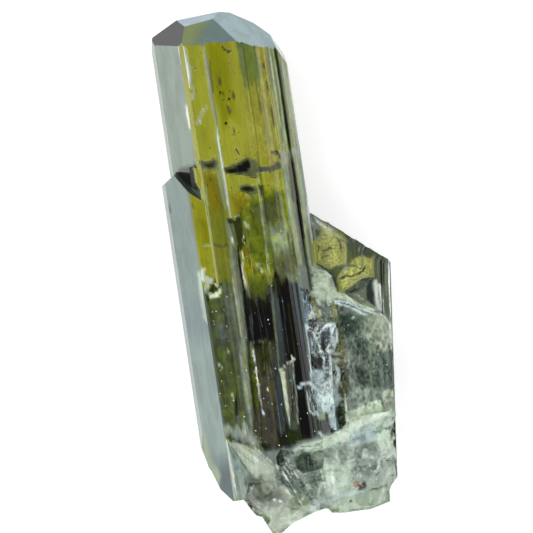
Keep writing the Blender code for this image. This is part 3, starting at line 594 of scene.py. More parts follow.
# Everywhere, with edges that only waver a little:
PATCHES = rows_of([
    ("block grey", 0.1, ROUGH_AREA),
    # painted highlights: white slivers of reflected light on the left edge of the front face, and painted
    # shade in the open pocket below them
    ("white", 0.06, "-2.8,23.25 -2.25,23.12 -2.18,21.9 -2.15,20.3 -2.28,19.2 -2.52,18.7 -2.7,19.9 "
                    "-2.78,21.6"),
    ("white", 0.05, "-2.92,17.7 -2.72,17.7 -2.62,16.6 -2.6,15.4 -2.86,15.35 -2.95,16.6"),
    ("grey brown", 0.2, "-2.9,12.35 -2,12.15 -0.8,12.3 -0.75,11.5 -1.5,11.35 -2.4,11.6 -2.9,11.4"),
    ("dark", 0.15, "-2,12.05 -1.1,12.1 -1.05,11.7 -1.5,11.6 -1.95,11.7"),
    # healed fractures across the prism
    ("smear", 0.2, "-0.2,11.4 1,11.7 2,12.1 2.9,11.6 3,10.5 2.3,10.2 1.4,10.5 -0.1,10.85"),
    ("black", 0.1, "-0.15,11.15 0.9,11.4 1.5,11.7 2.1,11.8 2.25,11.2 1.75,10.75 0.8,10.7 -0.1,10.95"),
    ("grey brown", 0.12, "2.9,11.05 3.9,10.9 4.9,11.3 4.95,10.6 4,10.4 2.9,10.5"),
    ("lilac", 0.2, "5.1,12.2 5.7,12 5.65,10.7 5.1,10.6"),
    ("lilac", 0.15, "6.1,12.2 6.7,12.1 6.7,11.5 6.1,11.6"),
    ("smear", 0.16, "0.85,9.5 1.5,9.6 2.5,9.2 2.5,8.7 1.75,8.6 0.9,9.1"),
    ("black", 0.1, "0.95,9.35 1.4,9.42 2.1,9.2 2.2,8.9 1.75,8.8 1.3,9"),
    ("smear", 0.2, "1.6,8.9 2.3,8.9 2.1,8.1 1.8,8"),
    ("dark", 0.15, "2.65,9.4 3,9.3 3,8.3 2.75,8.3"),
    # the recess below the ridge, and the chips to its right
    ("mist", 0.12, "-0.85,6.85 -0.2,6.6 -0.05,5.2 -0.15,4 -0.6,4.2 -0.95,5.2"),
    ("dark", 0.09, "-0.15,6.6 0.05,6.6 0.66,7 0.6,6.2 0.66,5.5 0.6,4.8 0.5,3.9 0.1,3.6 -0.12,4.6"),
    ("dark", 0.12, "-0.7,6.75 -0.3,6.65 0,6.5 0,6.1 -0.6,6.3"),
    ("orange", 0.12, "0.35,3.9 0.75,3.7 0.85,2.9 0.5,2.9"),
    ("pale line", 0.12, "1.6,1.9 1.85,1.8 1.95,1.3 1.7,1.25"),
    ("pale green", 0.15, "1.3,2.3 1.7,2.2 1.6,1.7 1.3,1.9"),
    ("mist", 0.15, "3.75,1.15 4.4,0.75 5.1,0.6 4.95,0.05 4.2,0.1"),
    ("dark", 0.12, "2.7,0.75 3.1,0.7 3.15,-0.6 2.75,-1.2"),
    # broken corner on the left face
    ("bright cream", 0.06, "-3.75,2.5 -3.3,2.5 -3.5,2 -3.2,1.75 -2.75,1.45 -3.15,0.9 -3.3,0.4 -3.75,0.45 "
                           "-3.55,1.2 -3.85,1.5"),
    ("dark", 0.07, "-3,1.05 -2.6,1.2 -2,1 -2.2,0.45 -2.9,-0.25 -3.35,0.2"),
    ("bright cream", 0.05, "-3.4,0.3 -2.85,0.05 -2.5,0.25 -2.2,0.6 -2.07,0.3 -2.35,-0.1 -2.75,-0.35 "
                           "-3.4,-0.2"),
    ("white", 0.05, "-2.7,1 -2.45,0.95 -2.35,0.65 -2.65,0.7"),
    ("dark", 0.1, "-3.6,0.1 -3.3,0.1 -3.4,-0.6 -3.65,-0.5"),
    # the tab in the foot
    ("tab", 0.08, "2.05,-7.76 2.68,-7.37 3.36,-7.1 3.25,-9.9 3.05,-12 2.9,-13.5 2.15,-13.4"),
    ("bright cream", 0.06, "2.05,-7.76 2.5,-7.9 2.45,-9.75 2.36,-11.9 2.26,-13.2 2.15,-11.6 2.12,-9.6"),
    # the side crystal
    # its dark part is partly painted shade
    ("side dark", 0.15, "6.9,6.8 14.2,0.9 14,-24 12,-24 12.2,-4 8,-0.5 6.9,1.2"),
    ("side window", 0.12, SIDE_WINDOWS[0]),
    ("side green", 0.15, "9.9,2.1 10.9,2.2 10.7,1 9.4,0.5 8.3,0.7 8.3,0 8.9,0.3 9.6,0.2"),
    ("side window", 0.1, SIDE_WINDOWS[1]),
    # painted light: a brighter copy of the window where its recess is shaded
    ("window deep", 0.1, "8.4,-1.5 9,-0.3 10,0.3 9.9,-0.3 9.4,-0.9 9,-1.5"),
    ("lilac", 0.2, "9.3,1 9.8,0.9 9.7,0.5 9.3,0.6"),
    # the pale corner between the crystals, its hollow and its pillar
    ("block", 0.15, UPPER_BLOCK),
    ("cream", 0.12, "6.65,1.5 7.35,1 8,0.35 8.2,-0.5 8.3,-1.25 8.05,-2 7.2,-1.6 6.2,-0.9 6.4,1.1"),
    ("cream", 0.25, "6.4,-0.6 7.6,-0.9 8.1,-1.7 7.6,-2.2 6.4,-1.9 6,-1.2"),
    ("block", 0.12, BLOCK),
    ("cream", 0.08, "8.15,-1.3 8.7,-1.55 9.4,-1.9 10.2,-2.45 11,-2.95 11.7,-3.3 12.2,-3.7 11.2,-3.6 "
                    "10.1,-3 9.2,-2.4 8.1,-1.9"),
    ("base blue", 0.1, "8,-2.1 9.1,-2.4 10,-3.05 11.4,-3.75 11.9,-4.1 10.6,-3.95 9.6,-3.4 8.8,-2.8 "
                       "8,-2.5"),
    ("shade", 0.05, "9,-1.62 9.95,-1.08 10.8,-0.62 11.7,-0.62 11.75,-2.3 11.5,-3.3 10.9,-2.9 10.1,-2.5 "
                    "9.3,-1.95"),
    ("cavity", 0.1, "10.5,-0.75 11.5,-0.75 11.3,-1.5 10.55,-1.5"),
    ("teal black", 0.06, "11.15,-1.3 11.6,-0.8 11.72,-2.2 11.45,-3.2 10.95,-2.5"),
    ("white", 0.06, "11.85,-0.8 12.4,-1.3 12.5,-1.8 12.35,-3.9 11.9,-3.7 11.7,-3"),
    # the fibrous block
    ("block dark", 0.4, "8,-2.9 9.4,-3.2 10,-4.4 9.4,-5.6 8.2,-5.6"),
    ("block pale", 0.5, "10.6,-3.9 12.2,-3.9 12.9,-5 12.5,-7.4 11.4,-7.2 10.3,-5.6"),
    ("block dark", 0.5, "11.2,-7.6 12.9,-7.6 12.6,-11 11.2,-11"),
    ("block dark", 0.3, "9.2,-5.8 10.2,-5.8 10.3,-7.4 9.2,-7.2"),
    ("block dark", 0.3, "8.8,-8.6 9.8,-8.5 9.9,-10.2 8.9,-10.3"),
    ("block dark", 0.3, "10.4,-8.8 11.2,-8.8 11.2,-10.4 10.4,-10.5"),
    ("ribs", 0.25, "7.8,-10.8 11,-10.6 11,-12 8,-12.6"),
    ("cream", 0.1, "7.62,-12.4 8.35,-12.35 9.7,-12.05 10.8,-11.75 11.05,-13.1 9,-13.6 7.5,-14.1"),
    ("block pale", 0.2, "11.05,-11.1 12.4,-11 12.3,-13 11.2,-13.2"),
    ("brown", 0.12, "7.75,-4.4 8.3,-4.6 8.25,-8.2 8.1,-10.2 7.65,-10.8 7.5,-13.9 6.7,-14 6.9,-11 "
                    "7.3,-6.8"),
    ("olive", 0.2, "7.2,-6.3 8.3,-6.3 8.2,-8.2 7.8,-10.6 7.4,-10.5 7.5,-8.4 7.2,-7.9"),
    ("dark", 0.2, "7.6,-8.2 8.2,-8.2 8.1,-10.2 7.5,-9.6"),
    # the frosted zone
    ("teal black", 0.1, FROST),
    ("frost blue", 0.12, "4.95,-0.7 5.45,-1.1 5.6,-2.4 5.45,-3.6 5.2,-4.3 5,-4"),
    ("frost dark", 0.2, "5,-5.1 5.8,-5.2 6.05,-6 6,-6.6 5,-6.6"),
    ("frost grey", 0.2, "4.95,-8.2 6.1,-8.3 6.2,-10 5.2,-10.1 4.8,-9.3"),
    ("frost white", 0.25, "5,-10.1 6.9,-9.9 7.2,-11.3 6.6,-12.3 5.2,-12.2 4.9,-11"),
    ("frost white", 0.12, "5.9,-12.3 6.5,-12.3 6.75,-14.1 6.2,-14.3 5.85,-13.2"),
    ("frost dark", 0.12, "6.2,-4.9 7,-4.4 7.1,-5.7 6.7,-5.8 6.2,-5.4"),
    ("foot", 0.15, "4.7,-12.5 5.8,-12.4 5.9,-14 4.8,-14.3"),
    ("pale green", 0.15, "4.9,-12.3 5.6,-12.2 5.6,-12.8 4.9,-12.8"),
    # the glassy base
    ("base", 0.15, BASE),
    ("base smoke", 0.3, "3.2,-17.4 4.6,-17.2 4.5,-19.8 3.2,-20"),
    ("base pale", 0.3, "4.7,-17 6,-17.2 7,-18 6.9,-19.3 6.2,-20 4.8,-19.9"),
    ("base smoke", 0.2, "6.1,-15.6 7.1,-15.5 7.2,-16.8 6.4,-17"),
    ("cavity", 0.25, "7.2,-15.9 9.9,-15.6 10.2,-17.9 8.7,-18.6 7.4,-17.9"),
    ("base smoke", 0.12, "7.95,-15.75 8.9,-15.65 9.7,-15.6 9.8,-16.1 9.3,-16.35 8.6,-16"),
    # a pit, darkened by painted shade
    ("hollow", 0.15, "9.1,-17.6 9.8,-17.3 9.8,-18.1 9.2,-18.1"),
    ("base blue", 0.3, "7.4,-14.5 9.9,-13.9 10.1,-15.3 8.2,-15.7 7.3,-15.6"),
    ("base pale", 0.25, "9.9,-13.9 11.3,-13.6 11.1,-16.4 10.2,-16.2"),
    ("slab", 0.15, "4.3,-20.4 7,-20.2 10,-19.9 11.4,-19.3 11.2,-21.6 4.2,-22.2"),
    # a dark strip on the right-hand edge, partly painted shade
    ("side dark", 0.1, "11.7,-13.5 12.4,-13.3 11.9,-16.4 11.5,-16.4 11.15,-15.6"),
    # painted shade beneath the ledge
    ("under", 0.1, "2.7,-15.65 2.95,-15.5 3.9,-15.75 4.95,-15.6 5.15,-15.95 4.9,-16.5 4.6,-16.8 "
                   "3.95,-17.35 3.4,-17.45 3.1,-17.2 2.55,-17.25 2.2,-16.8 2.25,-16.3"),
    ("bright cream", 0.12, "4.1,-15.9 5,-15.8 4.9,-16.5 4.2,-17"),
    ("teal black", 0.1, "3.2,-15.8 3.7,-15.85 3.7,-17 3.3,-17"),
    ("bright cream", 0.12, LEDGE),
    # the tip, the flake and the small clear crystal
    ("tip", 0.15, TIP),
    ("tip brown", 0.3, "-3.2,-18 -0.6,-18.1 0.6,-18.8 0.9,-20.3 -1,-20.4 -2.7,-19.9"),
    ("tip olive", 0.3, "1,-19.7 2.6,-19.2 3,-20.3 1.2,-21"),
    ("base", 0.1, "-4.5,-12.9 -3.75,-13.3 -3.3,-14.3 -2.7,-15.6 -2.1,-17.2 -2.6,-18.4 -3,-19.3 "
                  "-4.5,-18.8"),
    # the pit under the flake, darkened by painted shade
    ("hollow", 0.15, "-2.9,-17.9 -2.4,-16.9 -1,-17.1 -0.9,-17.8 -1.9,-17.95"),
    ("flake", 0.15, "-1.2,-17.7 -0.5,-17.8 -0.2,-18.6 -0.7,-18.9 -1.2,-18.6"),
    ("tip", 0.1, "-7.5,-10.5 -4.5,-12.8 -4.4,-19.5 -7.5,-19.5"),
    ("flake", 0.06, FLAKE),
    ("clear face", 0.08, SMALL_CRYSTAL),
    ("clear dark", 0.08, "0.55,-16.1 0.95,-16 1.45,-16.9 1.6,-18 1.2,-17.9 0.9,-17.2 0.5,-16.8"),
    ("block grey", 0.06, "0.72,-16.6 1.2,-16.6 1.35,-17.4 1,-17.9 0.65,-17.2"),
    ("clear dark", 0.12, "0.2,-17.7 1.2,-17.6 1.3,-18.2 0.3,-18.4"),
    # a red-brown grain
    ("rust", 0.06, "7.2,-19.05 7.66,-18.9 7.91,-19.16 7.78,-19.43 7.45,-19.5"),
    ("red brown", 0.05, "7.65,-19.15 7.8,-19 8.38,-19.1 8.42,-19.52 7.9,-19.85 7.5,-19.65"),
    ("black", 0.05, "7.85,-19.1 8.3,-19.12 8.38,-19.5 8.1,-19.6 7.9,-19.4"),
])

# Lines seen from above, which taper towards their ends: look, half width, and points along the line
PRISM_LINES = rows_of([
    # the ridge and the lines left of it
    ("lilac", 0.09, "-2.1,22.9 -2.04,21 -2.08,19.6 -1.98,18.3"),
    ("lilac", 0.17, "-0.45,22.9 -0.41,20 -0.45,18 -0.36,16.2 -0.33,14.6"),
    ("dull", 0.05, "-0.13,21.7 -0.16,18.4"),
    ("pale green", 0.17, "-0.4,15.8 -0.44,14.1 -0.46,12 -0.48,10.3 -0.42,8 -0.36,6.7"),
    # painted highlight along the ridge
    ("white", 0.06, "-0.35,15.2 -0.37,14.1 -0.33,12.2 -0.34,10.2 -0.31,8.4 -0.3,6.8"),
    ("pale green", 0.16, "-0.86,12.4 -0.85,10 -0.66,7.4"),
    ("lilac", 0.09, "-0.76,17.32 -1.39,16.86 -1.86,16.18 -2.37,15.65"),
    ("lilac", 0.07, "-2.48,15.2 -2.46,13 -2.5,11.9 -2.58,10.6 -2.62,9.8"),
    ("pale green", 0.08, "-2.18,9.8 -2.28,8 -2.36,6 -2.3,4.5"),
    # the upper right part
    ("khaki", 0.09, "2.88,18.4 2.86,13.4"),
    ("green", 0.08, "3.8,19 3.85,15.6"),
    ("pale green", 0.08, "4.26,22.4 4.26,18.6"),
    ("pink line", 0.09, "4.22,18.8 4.18,15 4,10.4"),
    ("dull", 0.06, "5.26,22 5.25,17.8"),
    ("pale line", 0.07, "5.46,21.8 5.46,17.3 5.52,12.2"),
    ("dull", 0.06, "5.66,21.5 5.72,17.3 5.48,14 5.4,12.2"),
    ("pale green", 0.09, "5.82,21.3 5.86,17.3 5.68,12"),
    ("dark", 0.17, "6.12,21.3 6.14,18.6 6.12,15 6,12"),
    ("pale green", 0.2, "6.56,20.3 6.56,16.7 6.46,12.6"),
    ("pale line", 0.05, "6.8,18.8 6.78,14 6.7,10.2"),
    # the middle right part
    ("pale green", 0.22, "5.4,12.2 5.36,10.4 5.26,8 5.24,6 5.34,4 5.36,1.6 5.2,0.5"),
    ("pale line", 0.09, "5.34,10.4 5.22,8 5.22,6 5.32,3"),
    ("black", 0.07, "5.78,12 5.68,9 5.62,7"),
    ("smear", 0.14, "5.92,11.4 5.86,9 5.8,7"),
    ("black", 0.08, "6.04,11.6 6.06,9 5.98,6.6 5.72,4.4"),
    ("foot brown", 0.17, "5.9,7.4 5.86,5 5.84,2.6 5.74,0"),
    ("pale green", 0.22, "6.44,11.4 6.46,8 6.36,6 6.42,3.4"),
    ("mist", 0.22, "6.5,4.6 6.4,2 6.3,0.4"),
    ("dark", 0.07, "6.16,12 6.18,8 6.12,4"),
    ("white", 0.07, "6.86,7.4 6.84,5.4 6.76,3.3"),
    ("pale green", 0.1, "2.66,10.4 2.68,8 2.6,6 2.6,4.2 2.46,2.2 2.4,0.2"),
    ("dull", 0.1, "4.62,5 4.72,1.2"),
    ("dark", 0.08, "5,4.4 5.02,1"),
    ("smear", 0.09, "3.9,2.9 3.7,0.4"),
    # from the recess down into the foot
    ("smear", 0.2, "-0.45,4.3 -0.42,1.6"),
    ("black", 0.13, "-0.1,4.2 -0.08,2 -0.06,0 -0.22,-2 -0.32,-4.6"),
    ("white", 0.05, "0.14,2.9 0.06,1.4 0.1,-0.2"),
    ("mist", 0.11, "0.36,1.6 0.36,-0.8"),
    ("stripe", 0.34, "-0.72,4.6 -0.74,2 -0.74,0 -0.76,-4 -1.08,-6 -1.18,-9.6 -1.22,-12.6"),
    ("pale line", 0.05, "-1,1.6 -0.98,-1.6 -0.96,-4.2"),
    ("pale green", 0.05, "-0.88,-4.6 -1.12,-7.6 -1.26,-11.4"),
    ("dark", 0.12, "-0.52,-4.8 -0.62,-8 -0.82,-12"),
    ("low green", 0.12, "-0.34,-5.6 -0.4,-8.4 -0.55,-11.2"),
    ("blue grey", 0.12, "0.1,-2.2 0.06,-4.6"),
    ("mist", 0.09, "2.42,0.6 2.36,-1.2 2.24,-3.4 2.12,-5.9 2.03,-7.6"),
    ("blue grey", 0.34, "4.58,0.2 4.6,-2 4.58,-5.4"),
    ("lilac", 0.06, "4.86,-4.6 4.8,-8.4"),
    ("blue grey", 0.05, "3.26,-1.2 3.1,-6.4"),
    ("blue grey", 0.05, "0.62,-8.6 0.5,-14.2"),
    ("dark", 0.05, "3.75,-1 3.68,-7"),
])
LINES = rows_of([
    ("pale line", 0.17, "-2.25,18.55 -2.1,18"),
    ("pale line", 0.13, "-1.82,16.2 -1.86,15.85"),
    ("bright cream", 0.12, "-3.85,10.2 -3.5,10.05"),
    ("yellow", 0.1, "-2.9,11.8 -2.85,10.9 -2.8,9.9"),
    ("pale green", 0.09, "-3.2,4.6 -2.4,4.55"),
    ("smear", 0.14, "-2.3,4.5 -1.5,4.3 -0.75,4.4"),
    ("white", 0.05, "0.27,3.5 0.3,2.9"),
    ("brown spot", 0.16, "-1.62,20.9 -1.45,20.85"),
    ("brown spot", 0.15, "0.5,19.8 0.55,19.3 0.5,18.9"),
    ("brown spot", 0.12, "0.72,18.2 0.66,17.9"),
    ("brown spot", 0.15, "1.55,18.2 1.62,17.5"),
    ("brown spot", 0.16, "0.85,17.1 1.05,16.5 1,16.1"),
    ("brown spot", 0.08, "1.12,15.2 1.2,14.6 1.1,14.1"),
    ("brown spot", 0.09, "1,13.1 1.15,12.7 1.4,12.3"),
    ("brown spot", 0.1, "4.72,20.3 4.76,19.9"),
    ("brown spot", 0.09, "4.76,18.8 4.82,18.4 4.8,17.8"),
    ("brown spot", 0.08, "4.9,16.5 4.86,15.8 4.9,14.4"),
    ("brown spot", 0.12, "-3.62,8.45 -3.58,8.2"),
    ("black", 0.07, "1.2,22.3 1.6,21.95 2.1,21.75"),
    ("black", 0.09, "4.25,12.15 4.6,12.25 4.92,12 4.98,11.3"),
    ("white", 0.09, "1.05,6.1 1.1,5.8"),
    ("pale line", 0.05, "-0.1,6.62 0.3,6.85 0.66,7.05"),
    ("pale green", 0.16, "0.75,6.2 1.1,5.9 1.2,5.4"),
    ("white", 0.05, "0.66,5.1 0.57,4.6 0.8,4.05"),
    ("black", 0.08, "0.45,4.9 0.75,4.35"),
    ("white", 0.09, "0.32,3.2 0.36,3"),
    ("bright cream", 0.1, "-0.5,4.9 -0.48,4.5"),
    ("mist", 0.13, "-0.18,-4.9 -0.16,-6.6"),
    ("white", 0.06, "-0.04,-5.5 -0.1,-6.7"),
    ("white", 0.045, "-0.05,-7 -0.09,-8 -0.06,-8.8 -0.12,-9.8 -0.09,-10.6 -0.12,-11.6"),
    ("white", 0.1, "-0.08,-7.2 -0.1,-7.8"),
    ("white", 0.11, "-0.05,-8.5 -0.06,-8.9"),
    ("white", 0.09, "-0.12,-11.2 0.05,-11.6"),
    ("white", 0.08, "0.66,-9.2 0.74,-9.35"),
    ("smear", 0.04, "-1.26,-4.67 0.16,-4.84 1.22,-4.93 2.13,-5.42"),
    ("white", 0.05, "2.05,-7.76 2.39,-7.75 2.68,-7.37 3.06,-7.3 3.4,-7.06"),
    ("white", 0.06, "3.4,-7.06 3.33,-6.74 3.63,-7.1"),
    ("pale line", 0.05, "3.36,-7.3 3.24,-9.9 3.11,-11.4 2.99,-13"),
    ("blue grey", 0.06, "2.85,-7.8 2.8,-10.4 2.7,-12.6"),
    ("pale line", 0.07, "-3.4,-6.4 -3.1,-6.7"),
    ("pale line", 0.08, "-2.35,-5.1 -2.3,-5.4"),
    ("pale line", 0.07, "-2.6,-9.2 -2.5,-9.9"),
    # the side crystal
    ("lilac", 0.12, "7.1,5.7 7.12,4.2 7.05,3.6"),
    ("side green", 0.16, "7.55,5.2 7.45,4.4"),
    ("lilac", 0.06, "7.05,3.95 7.6,3.5"),
    ("lilac", 0.05, "10.9,2.95 10.9,1.9"),
    ("mist", 0.04, "12.5,1 12.3,-0.9"),
    ("black", 0.05, "12.99,0.9 12.7,-1.5"),
    ("white", 0.035, "13.5,0.8 13.25,-1 12.9,-4.4"),
    ("mist", 0.04, "13.2,0.9 12.8,-2.6"),
    ("black", 0.07, "11.25,0.5 11,0.15 10.6,-0.15 10.35,-0.15"),
    ("black", 0.06, "10.7,0.45 11,0.3"),
    ("brown spot", 0.09, "8.6,-0.35 9.3,-0.1 9.9,-0.2 10.6,0"),
    ("side green", 0.08, "8.7,0.8 9.5,0.85 10.4,0.75 10.8,0.4"),
    ("brown spot", 0.07, "7.4,2.1 7.7,2.55 8,2.5 8.3,2.75 8.7,2.5"),
    ("brown spot", 0.05, "7.3,1.7 7.6,2 8.1,2"),
    ("brown spot", 0.06, "7.1,3.3 7.3,2.9 7.2,2.5"),
    ("brown spot", 0.06, "9.1,3.4 9.35,2.8 9.2,2.3"),
    ("brown spot", 0.05, "8,3.9 8.4,4.1 8.9,3.9"),
    ("white", 0.05, "6.9,5.95 7.37,5.35 8.1,4.7 8.8,4.15 9.5,3.55"),
    ("blue grey", 0.03, "9.5,3.55 10.5,2.85 11.6,2.2 12.8,1.3"),
    ("blue grey", 0.09, "6.9,1.4 7.65,0.8 8.08,0.2 8.28,-0.5 8.4,-1.2"),
    ("white", 0.05, "11.9,-0.75 12.4,-1.3 12.45,-1.8 12.3,-3.8"),
    ("white", 0.05, "11.8,-0.9 11.85,-2.2 11.7,-3.3"),
    ("block grey", 0.04, "12.15,-1.3 12.1,-3.4"),
    ("teal black", 0.05, "10.6,-0.7 11.6,-0.68"),
    ("block dark", 0.1, "9.4,-1.7 10.1,-1.5 10.4,-1.3"),
    ("bright cream", 0.05, "8.9,-1.5 9.6,-1.87 10.6,-2.55 11.5,-3.2"),
    ("block dark", 0.07, "8.4,-2.4 9.2,-2.75 10.2,-3.4 11.4,-4.05"),
    ("white", 0.06, "9.9,-1.8 10.2,-1.9 10.4,-2.3 10.6,-2.5"),
    ("base pale", 0.05, "10.1,-1.5 10.35,-1"),
    ("base pale", 0.05, "10.9,-0.8 11.1,-1.2 10.9,-1.6"),
    # painted highlights: yellow-white glints down the upper block
    ("yellow", 0.12, "6.05,-1.6 6.15,-2.3"),
    ("khaki", 0.1, "6.15,-2.3 6.25,-2.9 6.42,-3.75"),
    ("khaki", 0.08, "7.87,-2.4 7.8,-3.2 7.72,-4.3"),
    ("bright cream", 0.08, "6.45,-2.8 6.55,-3.4"),
    # the block
    ("pale green", 0.09, "8.1,-2.8 8,-4.4"),
    # a painted glint
    ("bright cream", 0.08, "9.5,-3.75 9.55,-4.15"),
    ("bright cream", 0.1, "11.9,-3.9 12.4,-4.4 12.68,-5.2 12.66,-6.4 12.5,-7.4"),
    ("bright cream", 0.09, "7.68,-10.8 7.55,-12.4 7.45,-13.8"),
    # the frosted zone
    # painted light: the loop brighter than white, against the shade of the recess
    ("frost glow", 0.16, "6.15,-4.95 6.55,-4.62 7.1,-4.3 7.6,-4.35 7.72,-4.9 7.58,-5.6 7.4,-6.2 "
                         "7.2,-6.65 6.85,-6.8 6.65,-6.5 7,-6"),
    ("frost glow", 0.24, "7.35,-4.6 7.4,-5.3 7.2,-6.3"),
    ("frost bright", 0.13, "6.88,-6.9 6.8,-7.8 6.68,-8.7 6.58,-9.6 6.5,-10.4"),
    ("frost bright", 0.07, "5.6,-4.8 5.85,-5.6 6,-6.2 6.05,-6.9 6.3,-7.3 6.15,-8 6.45,-8.6"),
    ("frost bright", 0.06, "5.05,-4 5.05,-5.6 5,-7 4.9,-8.4 4.72,-9.3"),
    ("frost white", 0.05, "5.3,-5.2 5.35,-6.2 5.5,-7"),
    ("frost bright", 0.15, "3.5,-9.6 4.1,-9.4 4.6,-9.35 5,-9.8 5.4,-10.2"),
    ("frost white", 0.06, "4.25,-9.9 4.22,-11.9 4.6,-12.35 5,-12.1"),
    ("mist", 0.05, "4.5,-9.9 4.5,-11.9"),
    ("frost bright", 0.15, "7.2,-8.05 7.42,-8.6 7.35,-9.2 7,-9.7"),
    ("frost bright", 0.12, "5.1,-3.9 5.2,-4.5"),
    ("frost bright", 0.25, "6.3,-10.7 6.5,-11.6"),
    ("frost bright", 0.1, "5.2,-10.4 5.6,-11 5.5,-12"),
    ("teal black", 0.09, "6.45,-7.2 6.45,-8.2 6.4,-9.4"),
    ("teal black", 0.08, "5.95,-9.9 6.1,-10.2"),
    ("olive", 0.12, "7.75,-9.2 7.6,-9.9 7.5,-10.4"),
    # the base
    ("shade", 0.05, "3,-15.9 3,-17.1"),
    ("base pale", 0.05, "3.45,-16 3.4,-17.2"),
    ("base pale", 0.05, "4.05,-15.9 3.95,-17.2"),
    ("bright cream", 0.17, "4.75,-13.9 5.2,-14.5"),
    ("bright cream", 0.13, "6.5,-14.3 6.65,-14.6"),
    # a painted glint
    ("white", 0.1, "5.52,-17.4 5.42,-18.2 5.36,-18.9"),
    ("bright cream", 0.16, "5,-18.5 4.95,-19.2"),
    ("bright cream", 0.1, "6.95,-17.2 7.15,-17.6 7.1,-17.9"),
    ("base pale", 0.07, "6.2,-15.7 6.1,-16.6 6.6,-17.3 7,-17.4"),
    ("base pale", 0.08, "4.75,-16.4 4.5,-17.4 4.6,-19.4"),
    ("bright cream", 0.06, "11.27,-14.15 10.62,-14.8 10.88,-16.15 10.1,-17 9.55,-18.2 8.95,-18.4"),
    ("smear", 0.05, "8.3,-19.95 9.4,-19.85 10.4,-19.6"),
    ("blue grey", 0.1, "6.5,-20.6 6.9,-20.7"),
    ("base blue", 0.14, "2.4,-21.3 4,-20.4 6.3,-19.95 8.5,-19.9"),
    ("base pale", 0.06, "2.55,-17.9 3,-18.7 3.2,-20"),
    ("bright cream", 0.07, "8,-18.2 8,-18.7"),
    # the flake, the small crystal, and painted glints on the tip
    ("white", 0.08, "-3.72,-13.5 -3.66,-16 -3.58,-18.4"),
    ("white", 0.05, "-2.9,-13.9 -1.9,-14.9 -0.8,-16"),
    ("base", 0.12, "-3,-14.3 -2.2,-15.2 -1.3,-16.1"),
    ("base", 0.08, "-1.9,-14.5 -1,-15.4 -0.3,-16"),
    ("white", 0.06, "-1.15,-14.6 -0.5,-15.4 0.1,-16.1"),
    ("white", 0.08, "0.94,-17 1.32,-18"),
    ("white", 0.05, "0.84,-16.3 0.84,-15.8 1.5,-15.8 1.72,-16.2"),
    ("bright cream", 0.05, "1.3,-16.1 1.9,-17.8"),
    ("white", 0.05, "1.5,-15.9 2.35,-17.9"),
    ("white", 0.08, "0.45,-16.3 0.55,-16.7"),
    ("white", 0.1, "-0.25,-18.2 -0.2,-18.7"),
    # a small mark of painted shade
    ("under", 0.08, "-0.7,-18.2 -0.6,-18.6"),
    ("white", 0.12, "-0.25,-19.3 -0.1,-19.6"),
    ("white", 0.12, "0.3,-19.6 0.5,-19.85"),
    ("white", 0.1, "1,-18.8 1.3,-19.2"),
    ("bright cream", 0.1, "1.7,-18.9 2,-19.1"),
])

# The left face's pale greys are partly painted reflection of the bright surroundings
# Where the left prism face changes its look: Y, from the top down, and the look below it
LEFT_BANDS = [(26.0, "left upper"), (11.0, "left middle"), (-4.0, "left lower"), (-15.2, "left foot")]
BAND_FADE = 1.5
# On the left face too: the painted highlights of the slivers, a dark spot, painted shade around the shoulder
# notch, a pale corner and the tip's look
LEFT_PATCHES = PATCHES[1:3] + rows_of([
    ("black", 0.06, DARK_SPOT),
    # painted shade around the shoulder notch
    ("dark", 0.08, "-4.7,11.49 -4.18,11.95 -2.4,11.95 -2.4,9.7 -3.1,9.86 -3.62,10.2 -4.28,10.7"),
    ("bright cream", 0.15, "-4.1,2.2 -3.6,2.4 -3.4,-0.6 -3.8,-2.6 -4.2,-2"),
    ("tip", 0.2, "-6.6,-11.5 -5.6,-12.2 -5.4,-14.5 -4.7,-16.6 -5.2,-17.6 -6.8,-14"),
])
SPOT_SOFT, SPOT_FADE = 0.06, (3.5, 3.8)    # the dark spot ends at these heights on the rim

# How far the edges of looks waver: reach, turns for each mm along X, Y and Z, octaves
WAVER_X = [(0.04, (1.1, 0.5, 1.1), 3), (0.03, (4.0, 3.0, 4.0), 2)]
WAVER_Y = (0.09, (1.6, 0.9, 1.6))
WAVER_APART = 7                     # one is read this far from the other, so that they aren't alike
DRAG = (0.75, (1.9, 0.06, 0.5))     # how far the striations drag them along the prism
TAPER, TAPER_FADE = 0.7, (0.6, 1.0)            # what a line loses of its width, and where along its halves
LINE_CORE, LINE_EDGE, LINE_SOFT = 0.5, 1.25, 0.03     # where it begins to fade and ends, in half widths
WIDE_LINE = 0.15                    # a line whose half width is more is a bundle of threads
THREAD_TURNS, THREAD_FADE, THREAD_DEPTH = (3.0, 0.03, 0.0), (-0.5, 0.6), 1.2
LEAST_SHUT, DARKEST = 1e-4, 0.002   # no coat is clearer or darker than this
DOME_SLANT, DOME_Y, DOME_FADE = 0.8, 24.0, (-1.4, 0.4)      # where the dome face turns grey
NOTCH_LEFT = (-4.70, -4.80)         # the notch looks like the left face to the left of these,
NOTCH_EDGE, NOTCH_TOP = (-3.05, -3.00), (8.5, 8.7)          # and yellow to the right of and above these
BEVEL_CLEAR = 0.15                  # the narrow bevel never shows the clear body
RAGGED_TOP, RAGGED_PALE = (4.75, 4.95), 0.8                 # the pale upper edge of the ragged end
BACK_LOW, BACK_FADE = (1.0, -2.0), (-0.3, 0.5)
FIBRES_FADE = (3.6, 5.0)            # the block's walls lose its fibrous pattern over these heights
BLOTCH_FADE = (-0.3, 0.3)
FROST_FADE = (-0.05, 0.15)
WINDOW_FADE = (0.0, 0.25)
FOOT_FADE = (1.5, -1.0)             # the dark lower end of the main crystal begins between these along Y
SIDE_FADE = (6.9, 7.1)              # the side crystal begins between these along X
FOOT_GLINTS_FADE = (-4.2, -3.6)         # the foot has no white dots of painted glint left of these
